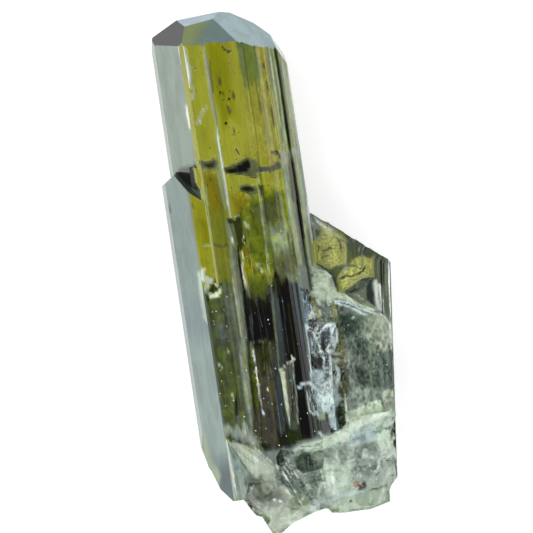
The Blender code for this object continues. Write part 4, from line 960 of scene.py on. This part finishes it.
WOVEN_LEAST, WOVEN_FADE = 0.25, (-12.6, -11.8)              # the fibres are weaker at the block's lower end
WOVEN_TOP, WOVEN_TOP_FADE, WOVEN_SLANT = 0.45, (2.2, -0.2), 0.6     # and above this slanting line
QUIET, QUIET_X, QUIET_Y = 0.6, (3.0, 2.2), (2.0, 6.0)       # what striations lose at the upper left,
QUIET_BLOTCH, QUIET_END = 0.6, (24.5, 22.0)                 # where it is blotchy, and at the end
BLOCK_SMOOTH, CALM_SMOOTH = 0.7, 0.6                        # what broken crystal loses of its roughness
GRAINY_ROUGH = 0.9
# how much of the painted glints broken and misty crystal get
BROKEN_SPARKS, MISTY_SPARKS = 0.6, 0.7


def finish_of(name):
    """A look's colour, clearness and roughness in one row."""
    red, green, blue, clear, *rough = LOOKS[name]
    usual = CLEAR_ROUGHNESS if clear >= CLEAR_FROM else FROSTED_ROUGHNESS
    return np.array([red, green, blue, clear, *(rough or [usual])])


def lay(rows, mask, name):
    """Blends a look into the rows where mask is 1."""
    rows += (finish_of(name) - rows) * mask[:, None]


def lay_patches(rows, x, y, patches):
    """Lays each patch in turn."""
    for name, soft, outline in patches:
        lay(rows, share_inside(x, y, outline, -soft, soft), name)


def lay_lines(rows, x, y, lines, share):
    """Lays lines that taper towards their ends, and the wide ones in finer lines."""
    threads = ramp(cloud(x, y, y, THREAD_TURNS), *THREAD_FADE) * THREAD_DEPTH
    for name, half, line in lines:
        far, place = from_line(x, y, line)
        width = half * (1 - TAPER * ramp(np.abs(2 * place - 1), *TAPER_FADE))
        thin = 1 - (half if half > WIDE_LINE else 0) * threads
        outside = ramp(far, LINE_CORE * width, LINE_EDGE * width + LINE_SOFT)
        lay(rows, (1 - outside) * thin * share, name)


def coat_for(rows, shine, lift):
    """The surface colour that gives each row's look, with the clear body showing through its clear share."""
    clear = np.clip(rows[:, 3:4], 0, 1)
    shut = np.maximum((1 - clear) * SKY, LEAST_SHUT)
    through = clear * np.array(CLEAR_LOOK)
    wanted = rows[:, :3] * lift[:, None] - shine[:, None] * (1 - CLEAR_SHINE * clear)
    wanted = np.maximum(wanted, DARKEST)
    root = (np.sqrt(through ** 2 + 4 * shut * wanted) - through) / (2 * shut)
    return np.clip(root, 0, 1) ** 2


def seen_from_above(x, y, z):
    """Where the camera sees each point, level with the middle of the view: what is higher looks wider."""
    larger = VIEW_HEIGHT / (VIEW_HEIGHT - (z - VIEW_CENTRE[2]))
    return [middle + (place - middle) * larger for place, middle in zip((x, y), VIEW_CENTRE)]


def painted_rows(x, y, z):
    """The finish of every point, for each kind of face that it may belong to."""
    x, y = seen_from_above(x, y, z)
    drift_x = sum((reach * cloud(x, y, z, turns, octaves) for reach, turns, octaves in WAVER_X), x)
    drift_y = y + WAVER_Y[0] * cloud(x + WAVER_APART, y, z, WAVER_Y[1])
    dragged_y = y + DRAG[0] * cloud(x, y, z, DRAG[1])

    def plain(name):
        return np.tile(finish_of(name), (len(x), 1))

    top = plain("body")
    lay_patches(top, drift_x, dragged_y, PRISM_PATCHES)
    on_prism = share_inside(x, y, ROUGH_AREA, 0.1, -0.1)
    lay_lines(top, drift_x, y, PRISM_LINES, on_prism)
    lay_patches(top, drift_x, drift_y, PATCHES)
    lay_lines(top, drift_x, drift_y, LINES, np.ones(len(x)))
    rows = {name: top for name in KIND}
    rows["bevel"] = np.column_stack([top[:, :3], np.minimum(top[:, 3], BEVEL_CLEAR), top[:, 4]])
    # the end faces' own looks, which hold painted reflections
    for name in ("basal", "corner", "slope"):
        rows[name] = plain(name)
    rows["slope_right"] = rows["slope"]

    left = plain(LEFT_BANDS[0][1])
    for start, name in LEFT_BANDS[1:]:
        lay(left, ramp(drift_y, start + BAND_FADE, start - BAND_FADE), name)
    rows["rim"] = left.copy()
    spot = share_inside(drift_x, drift_y, DARK_SPOT, -SPOT_SOFT, SPOT_SOFT)
    lay(rows["rim"], spot * ramp(z, *SPOT_FADE), "black")
    lay_patches(left, drift_x, drift_y, LEFT_PATCHES)
    rows["left"] = left

    rows["dome"] = plain("dome olive")
    lay(rows["dome"], ramp(x - DOME_SLANT * (y - DOME_Y), *DOME_FADE), "dome grey")
    # the notch is painted dark as shade, keeping the left face's look at its left and turning yellow at its
    # right and top
    rows["notch"] = plain("notch")
    lay(rows["notch"], ramp(x, *NOTCH_LEFT), "left middle")
    lay(rows["notch"], ramp(x, *NOTCH_EDGE) * ramp(z, *NOTCH_TOP), "yellow")
    # the side crystal's broken upper end: dark, partly painted shade, with a pale top edge
    rows["ragged"] = plain("side dark")
    lay(rows["ragged"], ramp(z, *RAGGED_TOP) * RAGGED_PALE, "pale line")
    rows["back"] = plain("body")
    lay(rows["back"], ramp(y, *BACK_LOW), "window low")
    lay(rows["back"], share_inside(x, y, ROUGH_AREA, *BACK_FADE), "base")
    return rows


def weights(x, y, z):
    """How much of each pattern every point has, by the name that the material reads."""
    broken = share_inside(x, y, ROUGH_AREA, *BROKEN_FADE)
    block = share_inside(x, y, BLOCK, *BLOCK_FADE)
    calm = sum(share_inside(x, y, outline, *BROKEN_FADE) for outline in CALM)
    grainy = sum(share_inside(x, y, window, *WINDOW_FADE) for window in SIDE_WINDOWS)
    blotchy = share_in_any(x, y, BLOTCHED, *BLOTCH_FADE)
    misty = share_inside(x, y, MISTY, *BLOTCH_FADE)
    foot = ramp(y, *FOOT_FADE) * (1 - broken)
    side = ramp(x, *SIDE_FADE) * (1 - broken)
    rough = broken * (1 - BLOCK_SMOOTH * block) * (1 - CALM_SMOOTH * np.minimum(calm, 1))
    woven = WOVEN_LEAST + (1 - WOVEN_LEAST) * ramp(y, *WOVEN_FADE)
    woven *= WOVEN_TOP + (1 - WOVEN_TOP) * ramp(y + WOVEN_SLANT * x, *WOVEN_TOP_FADE)
    foot_glints = foot * ramp(x, *FOOT_GLINTS_FADE)
    quiet = 1 - QUIET * ramp(x, *QUIET_X) * ramp(y, *QUIET_Y)
    quiet *= (1 - broken) * (1 - QUIET_BLOTCH * blotchy) * ramp(y, *QUIET_END)
    across, along = rotated(x, y, SIDE_LEAN * np.maximum(side, block), SIDE_EDGE)
    return {
        "own_place": np.column_stack([across, along, z]),
        "broken": np.maximum(rough, GRAINY_ROUGH * grainy),
        "blotchy": blotchy,
        "grainy": grainy,
        "fibrous": block * woven * ramp(z, *FIBRES_FADE),
        "frosted": share_inside(x, y, FROST, *FROST_FADE),
        # sparkling: where the painted glints of the chips lie
        "sparkling": np.maximum(foot_glints + BROKEN_SPARKS * broken, MISTY_SPARKS * misty),
        "dusty": np.maximum((1 - foot) * (1 - broken), side),
        "quiet": quiet,
    }


def store(mesh, name, values):
    """Stores a number, a vector or a colour for each point or each corner of a mesh."""
    values = np.asarray(values, np.float32)
    kind, field = {1: ("FLOAT", "value"), 3: ("FLOAT_VECTOR", "vector"), 4: ("FLOAT_COLOR", "color")}[
        values.size // len(values)]
    domain = "POINT" if len(values) == len(mesh.vertices) else "CORNER"
    mesh.attributes.new(name, kind, domain).data.foreach_set(field, values.ravel())


def paint(mesh, kinds):
    """Gives the mesh its colours, its clearness and the weights that its material reads."""
    places = np.empty(len(mesh.vertices) * 3)
    mesh.vertices.foreach_get("co", places)
    x, y, z = places.reshape(-1, 3).T / MM
    owner = np.empty(len(mesh.loops), int)
    mesh.loops.foreach_get("vertex_index", owner)
    corner_kind = np.repeat(kinds, 3)
    corner = np.empty((len(owner), 5))
    for name, rows in painted_rows(x, y, z).items():
        here = corner_kind == KIND[name]
        corner[here] = rows[owner[here]]

    def of_kind(numbers, usual):
        return np.array([numbers.get(name, usual) for name in KIND])[corner_kind]

    weight = weights(x, y, z)
    lift = of_kind(LIFT, 1.0) * (1 + FROST_LIFT * weight["frosted"][owner])
    coat = coat_for(corner, of_kind(SHINE, 0.0), lift)
    store(mesh, "coat", np.column_stack([coat, np.ones(len(owner))]))
    store(mesh, "clearness", corner[:, 3])
    store(mesh, "polish", corner[:, 4])
    store(mesh, "striated", of_kind(STRIATED, 0.0) * weight.pop("quiet")[owner])
    for name, values in weight.items():
        store(mesh, name, values)


# ---- material ---------------------------------------------------------------
IOR = 1.74                              # epidote
ABSORPTION_COLOUR = (0.768, 0.784, 0.0, 1.0)
ABSORPTION_DENSITY = 310.0              # for each metre
# Patterns of the surface: turns for each mm along X, Y and Z, then the noise's detail, roughness, distortion
PATTERNS = {
    "lines": ((7.0, 0.025, 2.0), 3.0, 0.6),
    "hairs": ((22.0, 0.05, 6.0), 1.0),
    "veils": ((0.9, 0.28, 0.6), 5.0, 0.6, 0.4),
    "fibres": ((3.2, 1.5, 2.0), 4.0, 0.6, 0.2),
    "mottle": ((1.3, 1.1, 1.3), 6.0, 0.6, 0.4),
    "grit": ((5.0, 5.0, 5.0), 4.0, 0.6),
    "web": ((0.8, 0.45, 0.8), 4.0, 0.6, 1.0),
    "speckle": ((3.0, 1.5, 3.0), 5.0, 0.65),
    "tint": ((0.9, 0.35, 0.8), 3.0),
}
CELLS = (2.6, 1.9, 2.2)
WEIGHTS = ("striated", "broken", "fibrous", "frosted", "sparkling", "dusty", "ridge", "grainy", "blotchy")
# Tones that patterns give: the pattern, and its span with what stands at each end of it
TONES = {
    "lines": ("lines", 0.32, 0.68, 0.72, 1.12),
    "hairs": ("hairs", 0.3, 0.7, 0.88, 1.06),
    "veils": ("veils", 0.32, 0.66, 0.78, 1.12),
    "speckle": ("speckle", 0.32, 0.68, 0.74, 1.20),
    "fibres": ("fibres", 0.34, 0.68, 0.55, 1.5),
    "cells": ("cells", 0.12, 0.62, 0.45, 1.45),
    "granules": ("grit", 0.34, 0.62, 0.70, 1.28),
    "blotches": ("mottle", 0.34, 0.64, 0.58, 1.50),
    "stain": ("mottle", 0.30, 0.68, 0.80, 1.16),
    "dust": ("grit", 0.3, 0.7, 0.90, 1.09),
    "glint": ("veils", 0.38, 0.52, 0.0, 0.85),
    "pits": ("speckle", 0.46, 0.38, 0.0, 0.65),
    "warm": ("tint", 0.36, 0.64),
    "growth": ("speckle", 0.40, 0.60),
}
WARM_HUES = (1.07, 0.98, 0.82, 1.0), (0.93, 1.02, 1.10, 1.0)
GROWTH_HUES = (1.22, 1.12, 0.55, 1.0), (0.88, 0.95, 1.25, 1.0)
THREAD, THREAD_WHITE = (0.018, 0.006), (0.0, 0.75)      # half width of the threads, and how white they are
# Round spots: turns for each mm, radius in cells, share of the cells that have one
SPOTS = {
    # chips: white dots, painted glints
    "chips": ((2.6, 2.0, 2.6), 0.17, 0.23),
    "grains": ((2.1, 1.7, 2.1), 0.13, 0.16),
    "sparks": ((3.4, 2.6, 3.4), 0.20, 0.14),
}
SPOT_CORE = 0.6                         # share of a spot's radius from where it fades
THREAD_POLISH = 0.35                    # the threads are so much rougher
MOTTLED = (0.4, 0.7, 0.0, 1.5)          # how far strongly striated faces are also mottled
# How far each pattern raises the surface, in metres, and the weight that it follows
BUMPS = [("lines", "striated", 0.000022), ("hairs", "striated", 0.000003), ("fibres", "fibrous", 0.00008),
         ("grit", "broken", 0.00004)]
# colour of the painted highlights along ridges
GLINT_COLOUR = (0.66, 0.74, 0.64, 1.0)
PIT_COLOUR = (0.030, 0.045, 0.050, 1.0)
THREAD_COLOUR = (0.60, 0.72, 0.72, 1.0)
SPARK_COLOUR = (0.50, 0.56, 0.24, 1.0)
# colour of the painted glints at the chips
SPOT_GLINT_COLOUR = (0.80, 0.86, 0.82, 1.0)
GRAIN_COLOUR = (0.02, 0.02, 0.008, 1.0)


class Graph:
    """A material's nodes, with short calls for the few kinds that are used."""

    def __init__(self, name):
        self.material = bpy.data.materials.new(name)
        self.material.use_nodes = True
        self.nodes = self.material.node_tree.nodes
        self.links = self.material.node_tree.links
        self.nodes.clear()
        self.output = self.nodes.new("ShaderNodeOutputMaterial")

    def put(self, socket, value):
        """Links a node's output to a socket, or sets the socket to a plain value."""
        if isinstance(value, bpy.types.NodeSocket):
            self.links.new(value, socket)
        elif value is not None:
            socket.default_value = value

    def add(self, kind, inputs=(), **settings):
        """A node with these settings, and with values or links in the inputs that are named or numbered."""
        node = self.nodes.new("ShaderNode" + kind)
        for name, setting in settings.items():
            setattr(node, name, setting)
        for name, value in dict(inputs).items():
            self.put(node.inputs[name], value)
        return node

    def attribute(self, name, output="Fac"):
        return self.add("Attribute", attribute_name=name).outputs[output]

    def position(self):
        return self.add("TexCoord").outputs["Object"]

    def maths(self, operation, a, b=None, clamp=False):
        return self.add("Math", {0: a, 1: b}, operation=operation, use_clamp=clamp).outputs[0]

    def times(self, a, b, clamp=False):
        return self.maths("MULTIPLY", a, b, clamp)

    def stretched(self, place, scale):
        return self.add("VectorMath", {0: place, 1: scale}, operation="MULTIPLY").outputs[0]

    def noise(self, place, scale, detail=4.0, rough=0.55, distortion=0.0):
        return self.add("TexNoise", {"Vector": self.stretched(place, scale), "Scale": 1.0, "Detail": detail,
                                     "Roughness": rough, "Distortion": distortion}).outputs["Fac"]

    def cells(self, place, scale):
        """Round cells, by how far each point is from the middle of its own, and a random colour for each."""
        node = self.add("TexVoronoi", {"Vector": self.stretched(place, scale), "Scale": 1.0})
        return node.outputs["Distance"], node.outputs["Color"]

    def dots(self, place, scale, radius, share):
        """1 in a round spot at the middle of some cells, and 0 elsewhere."""
        distance, colour = self.cells(place, scale)
        near = self.span(distance, radius, radius * SPOT_CORE)
        chance = self.add("SeparateColor", {0: colour}).outputs[0]
        return self.times(near, self.maths("LESS_THAN", chance, share))

    def span(self, value, low, high, to_low=0.0, to_high=1.0):
        """Maps low to high onto to_low to to_high, smoothly and no further."""
        ends = {0: value, 1: low, 2: high, 3: to_low, 4: to_high}
        return self.add("MapRange", ends, interpolation_type="SMOOTHSTEP").outputs[0]

    def mix(self, share, a, b, blend="MIX"):
        return self.add("Mix", {0: share, 6: a, 7: b}, data_type="RGBA", blend_type=blend).outputs[2]

    def toned(self, colour, tone):
        return self.mix(1.0, colour, tone, "MULTIPLY")

    def bump(self, height, distance, normal=None):
        return self.add("Bump", {"Distance": distance, "Height": height, "Normal": normal}).outputs[0]

    def surface(self, **inputs):
        """The shader of the surface; an input is named with _ for each space."""
        inputs = {name.replace("_", " "): value for name, value in inputs.items()}
        self.links.new(self.add("BsdfPrincipled", inputs).outputs[0], self.output.inputs["Surface"])


def crystal_material():
    """Clear olive epidote with frosted, dark and broken zones, by the weights stored on the mesh."""
    g = Graph("epidote_surface")
    place = g.attribute("own_place", "Vector")
    weight = {name: g.attribute(name) for name in WEIGHTS}
    pattern = {name: g.noise(place, *numbers) for name, numbers in PATTERNS.items()}
    pattern["cells"] = g.cells(place, CELLS)[0]
    tone = {name: g.span(pattern[source], *ends) for name, (source, *ends) in TONES.items()}
    spots = {name: g.dots(place, *numbers) for name, numbers in SPOTS.items()}

    # veils, streaks, fibres and mottling tone the coat, each as far as a weight says
    mottled = g.times(weight["striated"], g.span(weight["striated"], *MOTTLED), True)
    coat = g.attribute("coat", "Color")
    coat = g.mix(weight["striated"], coat, g.toned(coat, g.times(tone["lines"], tone["hairs"])))
    coat = g.toned(coat, tone["veils"])
    for share, shade in (
        (mottled, g.mix(tone["warm"], *WARM_HUES)),
        (mottled, tone["speckle"]),
        (weight["fibrous"], g.times(tone["fibres"], tone["cells"])),
        (weight["grainy"], tone["granules"]),
        (weight["blotchy"], tone["blotches"]),
        (weight["blotchy"], g.mix(tone["growth"], *GROWTH_HUES)),
        (weight["broken"], g.times(tone["stain"], tone["dust"])),
    ):
        coat = g.mix(share, coat, g.toned(coat, shade))

    # painted highlights on ridges, white threads over dark pits in the frost, bright chips painted as glints,
    # and dark grains cover it
    from_thread = g.maths("ABSOLUTE", g.maths("SUBTRACT", pattern["web"], 0.5))
    threads = g.times(g.span(from_thread, *THREAD, *THREAD_WHITE), weight["frosted"])
    chips = g.times(spots["chips"], weight["sparkling"])
    grains = g.times(spots["grains"], weight["dusty"])
    for share, colour in (
        (g.times(weight["ridge"], tone["glint"]), GLINT_COLOUR),
        (g.times(weight["frosted"], tone["pits"]), PIT_COLOUR),
        (threads, THREAD_COLOUR),
        (g.times(spots["sparks"], weight["blotchy"]), SPARK_COLOUR),
        (chips, SPOT_GLINT_COLOUR),
        (grains, GRAIN_COLOUR),
    ):
        coat = g.mix(share, coat, colour)

    shut = g.maths("MAXIMUM", g.maths("MAXIMUM", chips, grains), threads)
    clear = g.times(g.attribute("clearness"), g.maths("SUBTRACT", 1.0, shut), True)
    rough = g.maths("ADD", g.attribute("polish"), g.times(threads, THREAD_POLISH), True)
    normal = None
    for name, share, height in BUMPS:
        normal = g.bump(g.times(pattern[name], weight[share]), height, normal)
    g.surface(Base_Color=coat, Roughness=rough, Transmission_Weight=clear, Normal=normal, IOR=IOR)
    absorb = g.add("VolumeAbsorption", {"Color": ABSORPTION_COLOUR, "Density": ABSORPTION_DENSITY})
    g.links.new(absorb.outputs[0], g.output.inputs["Volume"])
    return g.material


DUST_TURNS = (2500.0, 2500.0, 2500.0)   # for each metre
DUST_COLOURS = (0.012, 0.012, 0.006, 1.0), (0.07, 0.07, 0.03, 1.0)
DUST_SPAN, DUST_POLISH = (0.35, 0.65), 0.7


def inclusion_material():
    """Dark brown mineral dust healed into an old fracture."""
    g = Graph("dark_inclusions")
    cloudy = g.noise(g.position(), DUST_TURNS, 5.0)
    g.surface(Base_Color=g.mix(g.span(cloudy, *DUST_SPAN), *DUST_COLOURS), Roughness=DUST_POLISH)
    return g.material


# ---- pieces -----------------------------------------------------------------
SEED = 7
# Dark healed fractures inside the main crystal: depth below the front face, and outline
FRACTURES = {
    "wedge": (0.45, points("-0.5,11.2 0.13,11.38 0.88,11.45 1.5,11.75 2.05,11.95 2.2,11.45 2.08,10.9 "
                           "2.2,10.45 1.95,10.15 1.43,10.35 0.73,10.62 0.02,10.85")),
    "left": (0.4, points("-2.25,12.35 -1.82,12.15 -1.05,12.3 -0.76,11.85 -0.95,11.45 -1.37,11.55 "
                         "-2.07,11.75 -2.35,11.95")),
    "fade": (0.5, points("2.1,10.6 2.7,10.15 2.5,9.9 1.9,10.1")),
    "thin": (0.5, points("2.57,10.9 3.22,10.98 3.89,10.62 4.45,11.1 5,10.9 4.95,10.5 4.43,10.45 "
                         "3.85,10.25 3.14,10.5 2.51,10.65")),
    "hook": (0.45, points("4.25,11.95 4.62,12.25 5.05,11.95 5,11.4 4.85,11.35 4.75,11.8 4.45,11.75")),
    "second": (0.45, points("0.9,9.25 1.55,9.42 2.05,9.05 2,8.6 1.45,8.78 0.95,8.95")),
    "third": (0.5, points("2.62,9.25 3.05,9.2 3.02,8.7 2.55,8.72")),
    "top": (0.3, points("1.25,22.28 1.6,21.95 2.05,21.8 2,21.68 1.55,21.8 1.2,22.15")),
}
FRONT_Z = 9.1                 # height of the front face
SHEET = 0.03                  # thickness of a healed fracture
STEPS = 5                     # corners along each side of its outline
ABOVE = 20.0                  # higher than all of the solid
RAGGED_EDGE = [(2.6, 0.10), (7.0, 0.04)]    # turns for each mm, and reach in mm
GRAIN_AREAS = {               # where dark grains lie: number, largest radius, box in X, Y and Z
    "below_top": (12, 0.10, (0.4, 1.6), (14.0, 20.0), (6.5, 8.6)),
    "body": (80, 0.055, (-2.0, 5.0), (2.0, 22.0), (3.0, 8.6)),
    "near_fracture": (16, 0.07, (-2.0, 4.6), (8.5, 13.5), (7.5, 8.7)),
}
GRAIN_SIZE = (0.45, 1.0)
GRAIN_STRETCH = (0.6, 1.0), (0.8, 1.9), (0.3, 0.6)
GRAIN_UNEVEN, GRAIN_TURNS = 0.35, 14


def add_object(name, bm, material):
    """An object of the scene from a mesh in metres."""
    mesh = bpy.data.meshes.new(name)
    bm.to_mesh(mesh)
    bm.free()
    mesh.materials.append(material)
    made = bpy.data.objects.new(name, mesh)
    bpy.context.scene.collection.objects.link(made)
    return made


def add_piece(name, bm, material):
    """A piece from a mesh in millimetres, which moves with the body."""
    bmesh.ops.scale(bm, vec=(MM,) * 3, verts=bm.verts)
    piece = add_object(name, bm, material)
    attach(piece, "root")
    return piece


def make_crystals():
    """The whole crystal group, in place of its plain solid."""
    bm, kind = refined_solid(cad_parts[NODE])
    raise_relief(bm, kind)
    kinds = np.array([face[kind] for face in bm.faces])
    bm.faces.layers.int.remove(kind)
    piece = add_piece("epidote_crystals", bm, crystal_material())
    paint(piece.data, kinds)
    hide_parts(NODE)


def sheet(bm, outline, depth, solid):
    """Adds one thin closed sheet with a ragged edge, which stays below the solid's surface."""
    top, low = [], []
    for (ax, ay), (bx, by) in zip(outline, outline[1:] + outline[:1]):
        for step in range(STEPS):
            t = step / STEPS
            at = Vector((ax + (bx - ax) * t, ay + (by - ay) * t, FRONT_Z - depth))
            shift = sum((noise.noise_vector(at * turns) * reach for turns, reach in RAGGED_EDGE), Vector())
            x, y = at.x + shift.x, at.y + shift.y
            surface = solid.ray_cast(Vector((x, y, ABOVE)), Vector((0, 0, -1)))[0].z
            z = min(surface, FRONT_Z) - depth
            top.append(bm.verts.new((x, y, z)))
            low.append(bm.verts.new((x, y, z - SHEET)))
    bm.faces.new(top)
    bm.faces.new(low[::-1])
    for corners in zip(top, low, low[1:] + low[:1], top[1:] + top[:1]):
        bm.faces.new(corners)


def make_fractures(material):
    """The dark healed fractures that cross the main crystal."""
    noise.seed_set(SEED)               # without it noise_vector differs from run to run
    bm = bmesh.new()
    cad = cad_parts[NODE].data
    solid = BVHTree.FromPolygons([v.co / MM for v in cad.vertices], [p.vertices for p in cad.polygons])
    for depth, outline in FRACTURES.values():
        sheet(bm, outline, depth, solid)
    bmesh.ops.triangulate(bm, faces=bm.faces)
    bmesh.ops.recalc_face_normals(bm, faces=bm.faces)
    add_piece("healed_fractures", bm, material)


def make_grains(material):
    """Small dark grains inside the main crystal."""
    rng = random.Random(SEED)
    bm = bmesh.new()
    for number, largest, *box in GRAIN_AREAS.values():
        for _ in range(number):
            at = Vector([rng.uniform(*side) for side in box])
            size = largest * rng.uniform(*GRAIN_SIZE)
            made = bmesh.ops.create_icosphere(bm, subdivisions=2, radius=size)["verts"]
            stretch = Vector([rng.uniform(*side) for side in GRAIN_STRETCH])
            for v in made:
                v.co = v.co * (1 + GRAIN_UNEVEN * noise.noise(v.co * GRAIN_TURNS + at)) * stretch + at
    add_piece("dark_grains", bm, material)


# ---- floor, light and camera ------------------------------------------------
FLOOR_SIZE = 3.0                     # metres
FLOOR_GAP = 0.00003                  # below the face that the crystals rest on
FLOOR_GLOW = 0.65                    # the floor is a light table, and this is its own light
FLOOR_SHADE, FLOOR_UNEVEN = 0.56, 0.01    # the share that it reflects, and how far that varies
FLOOR_POLISH = 0.9
PAPER_TURNS = (300.0, 300.0, 300.0)  # for each metre
SKY_STRENGTH = 1.40
SKY_COLOUR = (0.985, 1.0, 1.0, 1.0)
ZENITH_STRENGTH = 0.08               # straight above, behind the camera, so that level faces stay dark
ZENITH_EDGE = (0.79, 0.87)           # how near to its middle the sky turns dark, as a cosine
ZENITH_LEAN = (0.242, 0.0, 0.970)    # that middle leans a little to the right
LAMP_AT = (-0.22, 0.20, 0.34)
LAMP_SIZE = 0.16
LAMP_WATTS = 0.25
CAMERA_STARTS = 0.01
# Enough bounces for clear crystal, and no stray bright dots
RENDERING = {"max_bounces": 24, "transmission_bounces": 20, "glossy_bounces": 8, "diffuse_bounces": 4,
             "blur_glossy": 0.5, "sample_clamp_indirect": 12.0}


def make_floor():
    """A plain pale floor that gives light."""
    g = Graph("pale_floor")
    paper = g.noise(g.position(), PAPER_TURNS, 3.0)
    dark, light = [(*(FLOOR_SHADE + change,) * 3, 1.0) for change in (-FLOOR_UNEVEN, FLOOR_UNEVEN)]
    g.surface(Base_Color=g.mix(paper, dark, light), Emission_Color=(1.0, 1.0, 1.0, 1.0),
              Emission_Strength=FLOOR_GLOW, Roughness=FLOOR_POLISH, Specular_IOR_Level=0.0)
    bm = bmesh.new()
    bmesh.ops.create_grid(bm, x_segments=1, y_segments=1, size=FLOOR_SIZE / 2)
    bmesh.ops.translate(bm, vec=(0, 0, -FLOOR_GAP), verts=bm.verts)
    floor = add_object("floor", bm, g.material)


def make_sky():
    """A white tent of light all round, with a dark opening above."""
    world = bpy.data.worlds.new("tent")
    bpy.context.scene.world = world
    world.use_nodes = True
    nodes, links = world.node_tree.nodes, world.node_tree.links
    nodes.clear()
    place, lean, height, back, output = [nodes.new(kind) for kind in (
        "ShaderNodeTexCoord", "ShaderNodeVectorMath", "ShaderNodeMapRange", "ShaderNodeBackground",
        "ShaderNodeOutputWorld")]
    lean.operation = "DOT_PRODUCT"
    lean.inputs[1].default_value = ZENITH_LEAN
    height.interpolation_type = "SMOOTHSTEP"
    for socket, number in zip(height.inputs[1:5], (*ZENITH_EDGE, SKY_STRENGTH, ZENITH_STRENGTH)):
        socket.default_value = number
    back.inputs["Color"].default_value = SKY_COLOUR
    links.new(place.outputs["Generated"], lean.inputs[0])
    links.new(lean.outputs["Value"], height.inputs[0])
    links.new(height.outputs[0], back.inputs["Strength"])
    links.new(back.outputs[0], output.inputs["Surface"])


def make_lamp():
    """One soft light from the upper left."""
    light = bpy.data.lights.new("soft_light", "AREA")
    light.size = LAMP_SIZE
    light.energy = LAMP_WATTS
    lamp = bpy.data.objects.new("soft_light", light)
    lamp.location = LAMP_AT
    lamp.rotation_euler = (-Vector(LAMP_AT)).to_track_quat("-Z", "Y").to_euler()
    bpy.context.scene.collection.objects.link(lamp)


def make_camera():
    """Looks straight down on the crystals, as the photograph shows them."""
    data = bpy.data.cameras.new("camera")
    data.sensor_width = SENSOR
    data.lens = SENSOR * VIEW_HEIGHT / (PHOTO_SIDE * PIXEL)
    data.clip_start = CAMERA_STARTS
    camera = bpy.data.objects.new("camera", data)
    x, y, z = VIEW_CENTRE
    camera.location = Vector((x, y, z + VIEW_HEIGHT)) * MM
    camera.rotation_euler = (0, 0, math.radians(VIEW_TURN))
    bpy.context.scene.collection.objects.link(camera)
    bpy.context.scene.camera = camera


def set_rendering():
    """Sets the bounces of light, and the photograph's plain contrast."""
    bpy.context.scene.view_settings.view_transform = "Standard"
    for name, value in RENDERING.items():
        setattr(bpy.context.scene.cycles, name, value)


make_crystals()
dark_dust = inclusion_material()
make_fractures(dark_dust)
make_grains(dark_dust)
make_floor()
make_sky()
make_lamp()
make_camera()
set_rendering()
